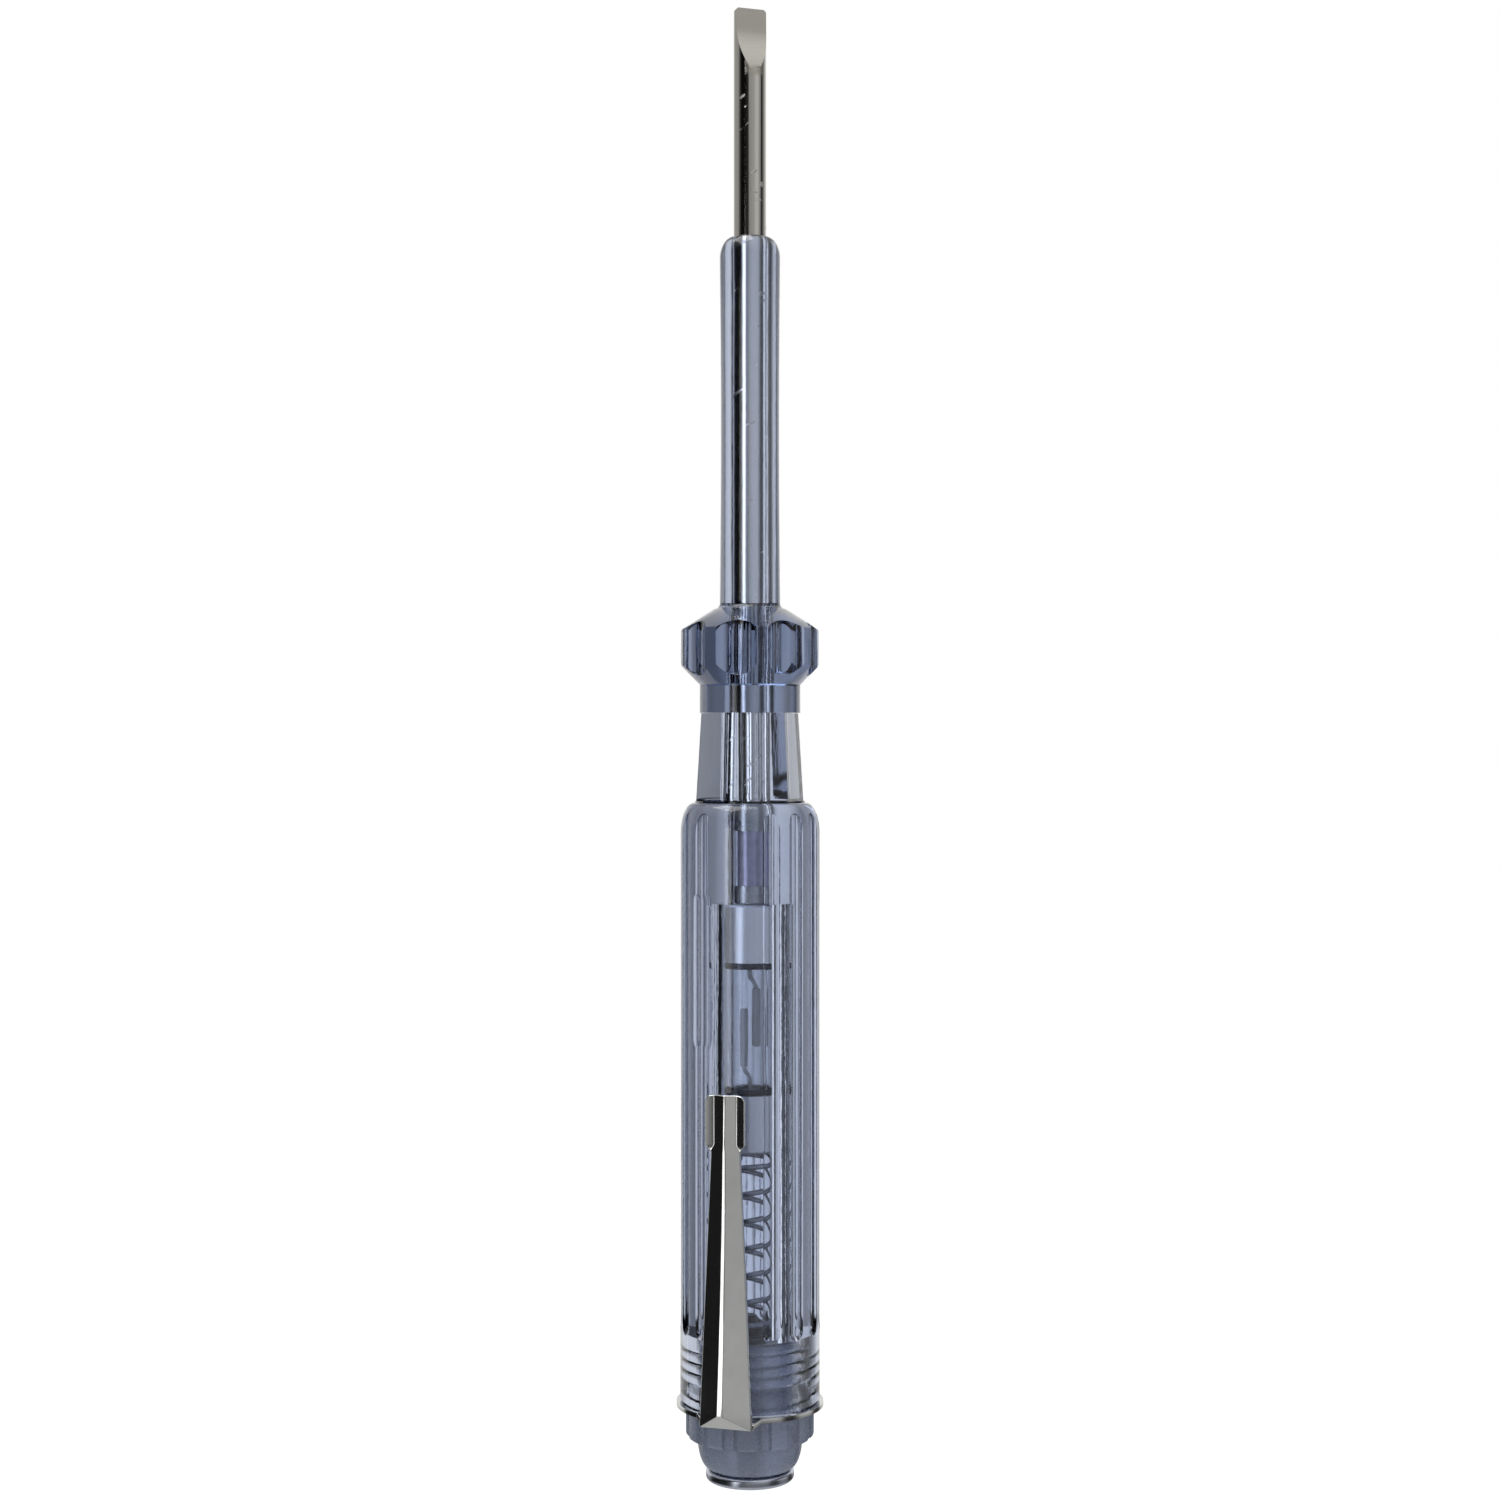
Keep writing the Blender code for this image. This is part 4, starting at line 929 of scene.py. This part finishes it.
# Bright nickel on a stamped sheet: warm grey, with fine rolling lines along the leaf and small dings.
clip_plate, tree, shader, where = new_finish("bright_nickel_stamping")
rolled = add(tree, "Mapping", inputs={"Vector": (where, "Object"), "Scale": (1, 1, 0.03)})
lines = add(tree, "TexNoise", inputs={"Vector": (rolled, "Vector"), "Scale": 5200.0, "Detail": 3.0})
dings = add(tree, "TexNoise", inputs={"Vector": (where, "Object"), "Scale": 620.0, "Detail": 3.0})
gloss = add(tree, "MapRange", inputs={"Value": (lines, 0), "To Min": 0.1, "To Max": 0.22})
tone = add(tree, "Mix", COLOURS, {0: (dings, 0), 6: hue("#C9CBCB"), 7: hue("#D9DBDB")})
height = add(tree, "Math", {"operation": "MULTIPLY_ADD"}, {0: (dings, 0), 1: 2.0, 2: (lines, 0)})
bump = add(tree, "Bump", inputs={"Height": (height, 0), "Strength": 0.1, "Distance": 0.00003})
feed(tree, shader, {"Base Color": (tone, 2), "Roughness": (gloss, 0), "Normal": (bump, 0), "Metallic": 1.0})
give(ring, clip_plate)
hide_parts("clip_ring")
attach(ring, "clip")


# Pocket clip's leaf: the same sheet, pressed to a ridged channel that tapers up the barrel. It runs out
# in a gusset at its foot and in a wider head with flared sides, and it springs away from the handle.
LEAF_LENGTH = 0.0309
LEAF_WAIST = 0.0028
LEAF_HEAD = 0.0039
GUSSET_HEIGHT = 0.0016
GUSSET_RISE = 0.00178
WAIST_RISE = 0.0005
HEAD_RISE = 0.00035
HEAD_HEIGHT = 0.0053
HEAD_SHOULDER = 0.0007
HEAD_VALLEY = 0.0021
HEAD_FLARE = 0.0002
HEAD_CORNER = 0.0005
LEAF_STANDOFF = 0.0003
RIDGE_WIDTH = 0.0006
RISE_POWER = 1.7
LEAF_ROWS = 18
TOUCH = 10 * MERGE
# Where each of the head's two bends ends, as a share of the side's width, and its part of flare and corner.
HEAD_BENDS = ((0.6, 0.45, 0.2), (1.0, 0.55, 0.8))

leaf_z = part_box("clip_leaf")[0].z
leaf_y = -(BARREL_RADIUS + LEAF_STANDOFF)
waist_z = LEAF_LENGTH - HEAD_HEIGHT
rows = []
for i in range(LEAF_ROWS + 1):
    share = i / LEAF_ROWS
    height = GUSSET_HEIGHT + (waist_z - GUSSET_HEIGHT) * share
    width = LEAF_FOOT + (LEAF_WAIST - LEAF_FOOT) * height / waist_z
    rise = WAIST_RISE + (GUSSET_RISE - WAIST_RISE) * (1 - share) ** RISE_POWER
    rows.append((height, width / 2, rise))
rows.append((waist_z + HEAD_SHOULDER, HEAD_VALLEY / 2, WAIST_RISE))
rows.append((LEAF_LENGTH, HEAD_VALLEY / 2, HEAD_RISE))
ridge = RIDGE_WIDTH / 2
height, half, rise = rows[0]
leaf = draw_line("clip_leaf_stamping", [
    (-half, 0, height),
    (-ridge, -rise, height),
    (ridge, -rise, height),
    (half, 0, height),
])
bpy.ops.mesh.select_all(action="SELECT")
for (height, half, rise), (next_height, next_half, next_rise) in zip(rows, rows[1:]):
    extrude((0, 0, next_height - height))
    bpy.ops.transform.resize(value=(next_half / half, next_rise / rise, 1), center_override=(0, 0, 0))


def select_points(piece, test, kind="VERT"):
    """Selects the vertices whose place passes the test, and the edges between them, in edit mode."""
    bpy.ops.object.mode_set(mode="OBJECT")
    hold(piece)
    bpy.ops.object.mode_set(mode="EDIT")
    bpy.ops.mesh.select_mode(type="VERT")
    bpy.ops.mesh.select_all(action="DESELECT")
    bpy.ops.object.mode_set(mode="OBJECT")
    for vertex in piece.data.vertices:
        vertex.select = test(vertex.co)
    bpy.ops.object.mode_set(mode="EDIT")
    bpy.ops.mesh.select_mode(type=kind)


foot_widening = LEAF_FOOT / 2 / rows[0][1]
select_points(leaf, lambda co: co.z < GUSSET_HEIGHT + MERGE)
extrude((0, 0, -GUSSET_HEIGHT))
bpy.ops.transform.resize(value=(foot_widening, 0, 1), center_override=(0, 0, 0))
select_points(leaf, lambda co: co.z < MERGE and abs(co.x) < LEAF_FOOT / 4)
bpy.ops.transform.resize(value=(LEAF_FOOT / 2 / (ridge * foot_widening), 1, 1), center_override=(0, 0, 0))
weld()
head_z = waist_z + HEAD_SHOULDER
corner_z = LEAF_LENGTH - HEAD_CORNER
valley = HEAD_VALLEY / 2
for side in (-1, 1):
    inner_x = valley
    for share, flare, drop in HEAD_BENDS:
        outer_x = valley + (LEAF_HEAD - HEAD_VALLEY) / 2 * share
        select_points(leaf, lambda co: co.z > head_z - MERGE and side * co.x > inner_x - TOUCH, "EDGE")
        extrude((side * (outer_x - inner_x), -HEAD_FLARE * flare, 0))
        select_points(leaf, lambda co: co.z > corner_z - MERGE and side * co.x > outer_x - TOUCH)
        bpy.ops.transform.translate(value=(0, 0, -HEAD_CORNER * drop))
        inner_x = outer_x
    select_points(leaf, lambda co: (
        abs(co.z - head_z) < MERGE and side * co.x > valley - TOUCH
        or abs(co.z - waist_z) < MERGE and side * co.x > LEAF_WAIST / 2 - TOUCH
    ))
    bpy.ops.mesh.edge_face_add()
bpy.ops.mesh.select_all(action="SELECT")
bpy.ops.mesh.normals_make_consistent(inside=False)
extrude((0, -SHEET, 0))
face_out()
seat(leaf, (0, leaf_y, leaf_z))
ease_edges(leaf, STAMPED_EDGE, 20)
give(leaf, clip_plate)
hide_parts("clip_leaf")
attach(leaf, "clip_leaf")


# Table and room: a plain white sheet in a white room, far enough below the tool for its cap to be unscrewed
# above it. The camera sees only white. Metal and clear plastic get their bands from walls that aren't one
# real room: each kind of ray sees its own. Under other light the bands are gone.
FLOOR_SIZE = 3.0
FLOOR_DROP = 0.0065
CAMERA_AZIMUTH = 18
# Each wall table gives bearings from the camera's side in degrees, and how light it is there: first what bare
# metal mirrors low and high, then what metal in the plastic mirrors, then what is seen straight through clear
# plastic. They are fitted to the photo, and HIGH_WALLS follows the brightness across its blade.
LOW_WALLS = (
    (-180, 1.0), (-122, 1.0), (-114, 0.012), (-44, 0.012), (-40, 2.4), (-32, 2.4), (-28, 0.1),
    (-18, 0.12), (-9, 0.42), (44, 0.52), (54, 0.05), (70, 0.05), (82, 0.6), (105, 0.6), (113, 0.06),
    (130, 0.06), (140, 0.9), (180, 1.0),
)
HIGH_WALLS = (
    (-180, 0.9), (-150, 0.7), (-138, 0.42), (-100, 0.37), (-90, 0.34), (-80, 0.14), (-68, 0.003),
    (-30, 0.003), (-12, 0.035), (-3, 0.08), (4, 0.2), (10, 0.3), (20, 0.38), (30, 0.42), (42, 0.6),
    (50, 0.6), (60, 0.38), (70, 0.08), (80, 0.01), (90, 0.015), (98, 0.06), (110, 0.2), (128, 0.48),
    (150, 0.9), (180, 0.95),
)
INNER_WALLS = (
    (-180, 0.86), (-153, 0.95), (-139, 0.95), (-125, 0.8), (-117, 0.25), (-111, 0.01), (-60, 0.01),
    (-55, 0.12), (-49, 1.7), (-42, 3.8), (-33, 3.6), (-26, 1.4), (-19, 0.5), (-9, 0.5), (0, 0.66),
    (10, 0.84), (22, 0.98), (47, 0.98), (55, 0.54), (63, 0.16), (76, 0.15), (86, 0.6), (97, 1.7),
    (106, 1.6), (116, 0.35), (127, 0.1), (141, 0.08), (156, 0.32), (168, 0.7), (180, 0.86),
)
CLEAR_WALLS = (
    (-180, 1.0), (-172, 0.95), (-166, 1.0), (-156, 0.95), (-150, 0.6), (-143, 0.34), (-136, 0.6),
    (-128, 0.28), (-104, 0.3), (-98, 0.65), (-76, 0.7), (-68, 0.4), (-56, 0.4), (-48, 0.7), (48, 0.7),
    (56, 0.45), (68, 0.45), (76, 0.7), (98, 0.65), (104, 0.28), (126, 0.24), (134, 0.5), (142, 0.34),
    (150, 0.42), (160, 0.46), (167, 0.8), (180, 1.0),
)
LOW_RISE = 0.15
HIGH_RISE = 0.185
# Painted light on the floor for metal and plastic: an even painted glow right under the tool, and painted
# shade near it.
UNDERFOOT = 0.011
UNDERFOOT_PAINTED_GLOW = (1.8, 1.8, 1.74, 1)
NEAR = 0.02
NEAR_LIGHT = 0.3
FAR = 0.075
PAPER_LIGHT = 1.05
PAPER_SHARE = 0.72
CEILING_START = 0.5
CEILING_END = 0.75


def walls_of(tree, position, walls):
    """What stands round the tool at each bearing from the camera's side, as a colour ramp."""
    ramp = add(tree, "ValToRGB", inputs={"Fac": (position, 0)})
    steps_of(ramp.color_ramp, [((bearing + 180) / 360, (v, v * 0.99, v * 0.97, 1)) for bearing, v in walls])
    return ramp


def room(tree, vector):
    """The room's light for a direction, or for a place on the floor: what metal mirrors, and what is seen
    straight through clear plastic."""
    turned = add(tree, "VectorRotate", {"rotation_type": "Z_AXIS"}, {
        "Vector": vector, "Angle": math.radians(-CAMERA_AZIMUTH),
    })
    part = add(tree, "SeparateXYZ", inputs={"Vector": (turned, "Vector")})
    towards = add(tree, "Math", {"operation": "MULTIPLY"}, {0: (part, "Y"), 1: -1.0})
    bearing = add(tree, "Math", {"operation": "ARCTAN2"}, {0: (part, "X"), 1: (towards, 0)})
    position = add(tree, "MapRange", inputs={
        "Value": (bearing, 0), "From Min": -math.pi, "From Max": math.pi,
    })
    rise = add(tree, "MapRange", inputs={"Value": (part, "Z"), "From Min": LOW_RISE, "From Max": HIGH_RISE})
    low, high = (walls_of(tree, position, walls) for walls in (LOW_WALLS, HIGH_WALLS))
    outside = add(tree, "Mix", COLOURS, {0: (rise, 0), 6: (low, 0), 7: (high, 0)})
    ray = add(tree, "LightPath")
    within = add(tree, "Math", {"operation": "GREATER_THAN"}, {0: (ray, "Transmission Depth"), 1: 0.5})
    mirrored = add(tree, "Mix", COLOURS, {
        0: (within, 0), 6: (outside, 2), 7: (walls_of(tree, position, INNER_WALLS), 0),
    })
    off_metal = add(tree, "Math", {"operation": "GREATER_THAN"}, {0: (ray, "Glossy Depth"), 1: 0.5})
    return add(tree, "Mix", COLOURS, {
        0: (off_metal, 0), 6: (walls_of(tree, position, CLEAR_WALLS), 0), 7: (mirrored, 2),
    }), part, ray


bpy.ops.object.select_all(action="DESELECT")
bpy.ops.mesh.primitive_plane_add(size=FLOOR_SIZE, location=(0, 0, 0))
floor = bpy.context.object
floor.name = "floor"
seat(floor, (0, 0, -FLOOR_DROP))

# Matt white paper: faint fibres. Metal and plastic see it glow instead, with painted walls on it, dimmed
# round the tool as painted shade, and with an even painted glow right under the tool.
paper, tree, shader, where = new_finish("matt_white_paper")
fibres = add(tree, "TexNoise", inputs={"Vector": (where, "Object"), "Scale": 900.0, "Detail": 5.0})
tone = add(tree, "Mix", COLOURS, {0: (fibres, 0), 6: hue("#F0F0EF"), 7: hue("#F7F7F6")})
feed(tree, shader, {"Base Color": (tone, 2), "Roughness": 0.9})
mirrored, part, ray = room(tree, (where, "Object"))
bright = add(tree, "Emission", inputs={"Strength": PAPER_LIGHT})
seen = add(tree, "Math", {"operation": "MULTIPLY"}, {0: (ray, "Is Camera Ray"), 1: PAPER_SHARE})
direct = add(tree, "MixShader", inputs={0: (seen, 0), 1: (shader, 0), 2: (bright, 0)})
from_tool = add(tree, "VectorMath", {"operation": "LENGTH"}, {0: (where, "Object")})
# Painted shade: within NEAR of the tool the glowing walls are dimmed to NEAR_LIGHT, back to full by FAR.
painted_shade_round_tool = add(tree, "MapRange", inputs={
    "Value": (from_tool, "Value"), "From Min": NEAR, "From Max": FAR, "To Min": NEAR_LIGHT, "To Max": 1.0,
})
# Painted glow: right under the tool the floor shows an even bright tone in place of the walls.
beyond = add(tree, "MapRange", inputs={
    "Value": (from_tool, "Value"), "From Min": UNDERFOOT, "From Max": NEAR,
})
sheet = add(tree, "Mix", COLOURS, {0: (beyond, 0), 6: UNDERFOOT_PAINTED_GLOW, 7: (mirrored, 2)})
# Painted reflection: the floor glows with the walls' bands for metal and plastic.
painted_wall_glow = add(tree, "Emission", inputs={"Color": (sheet, 2), "Strength": (painted_shade_round_tool, 0)})
indirect = add(tree, "Math", {"operation": "MAXIMUM"}, {
    0: (ray, "Is Glossy Ray"), 1: (ray, "Is Transmission Ray"),
})
both = add(tree, "MixShader", inputs={0: (indirect, 0), 1: (direct, 0), 2: (painted_wall_glow, 0)})
feed(tree, tree.nodes["Material Output"], {"Surface": (both, 0)})
give(floor, paper)

world = bpy.data.worlds.new("studio")
bpy.context.scene.world = world
world.use_nodes = True
tree = world.node_tree
tree.nodes.clear()
where = add(tree, "TexCoord")
mirrored, part, ray = room(tree, (where, "Generated"))
lift = add(tree, "MapRange", inputs={
    "Value": (part, "Z"), "From Min": CEILING_START, "From Max": CEILING_END,
})
dome = add(tree, "Mix", COLOURS, {0: (lift, 0), 6: (mirrored, 2), 7: (0.9, 0.9, 0.9, 1)})
plain = add(tree, "Math", {"operation": "MAXIMUM"}, {0: (ray, "Is Camera Ray"), 1: (ray, "Is Diffuse Ray")})
colour = add(tree, "Mix", COLOURS, {0: (plain, 0), 6: (dome, 2), 7: (1, 1, 1, 1)})
light = add(tree, "Background", inputs={"Color": (colour, 2), "Strength": 1.0})
add(tree, "OutputWorld", inputs={"Surface": (light, 0)})

# One square soft lamp above and to the left, aimed at the tool and unseen by the camera.
LAMP_PLACE = (-0.15, -0.1, 0.7)
LAMP_AIM = (0, 0, 0.05)
bpy.ops.object.select_all(action="DESELECT")
bpy.ops.object.light_add(type="AREA", location=LAMP_PLACE)
lamp = bpy.context.object
lamp.name = "overhead_lamp"
lamp.data.size = 0.5
lamp.data.energy = 3.0
lamp.rotation_euler = (Vector(LAMP_PLACE) - Vector(LAMP_AIM)).to_track_quat("Z", "Y").to_euler()
lamp.visible_camera = False


# Camera: a 58 mm lens, 23 cm from the tool, level with its middle and 18 degrees to the right of the clip.
CAMERA_DISTANCE = 0.23
CAMERA_HEIGHT = 0.0694
LENS = 57.9
SENSOR_WIDTH = 36.0

azimuth = math.radians(CAMERA_AZIMUTH)
bpy.ops.object.camera_add(
    location=(CAMERA_DISTANCE * math.sin(azimuth), -CAMERA_DISTANCE * math.cos(azimuth), CAMERA_HEIGHT),
    rotation=(math.radians(90), 0, azimuth),
)
camera = bpy.context.object
camera.data.lens = LENS
camera.data.sensor_width = SENSOR_WIDTH
camera.data.clip_start = 0.01
camera.data.clip_end = 20.0
scene = bpy.context.scene
scene.camera = camera
scene.view_settings.view_transform = "Standard"
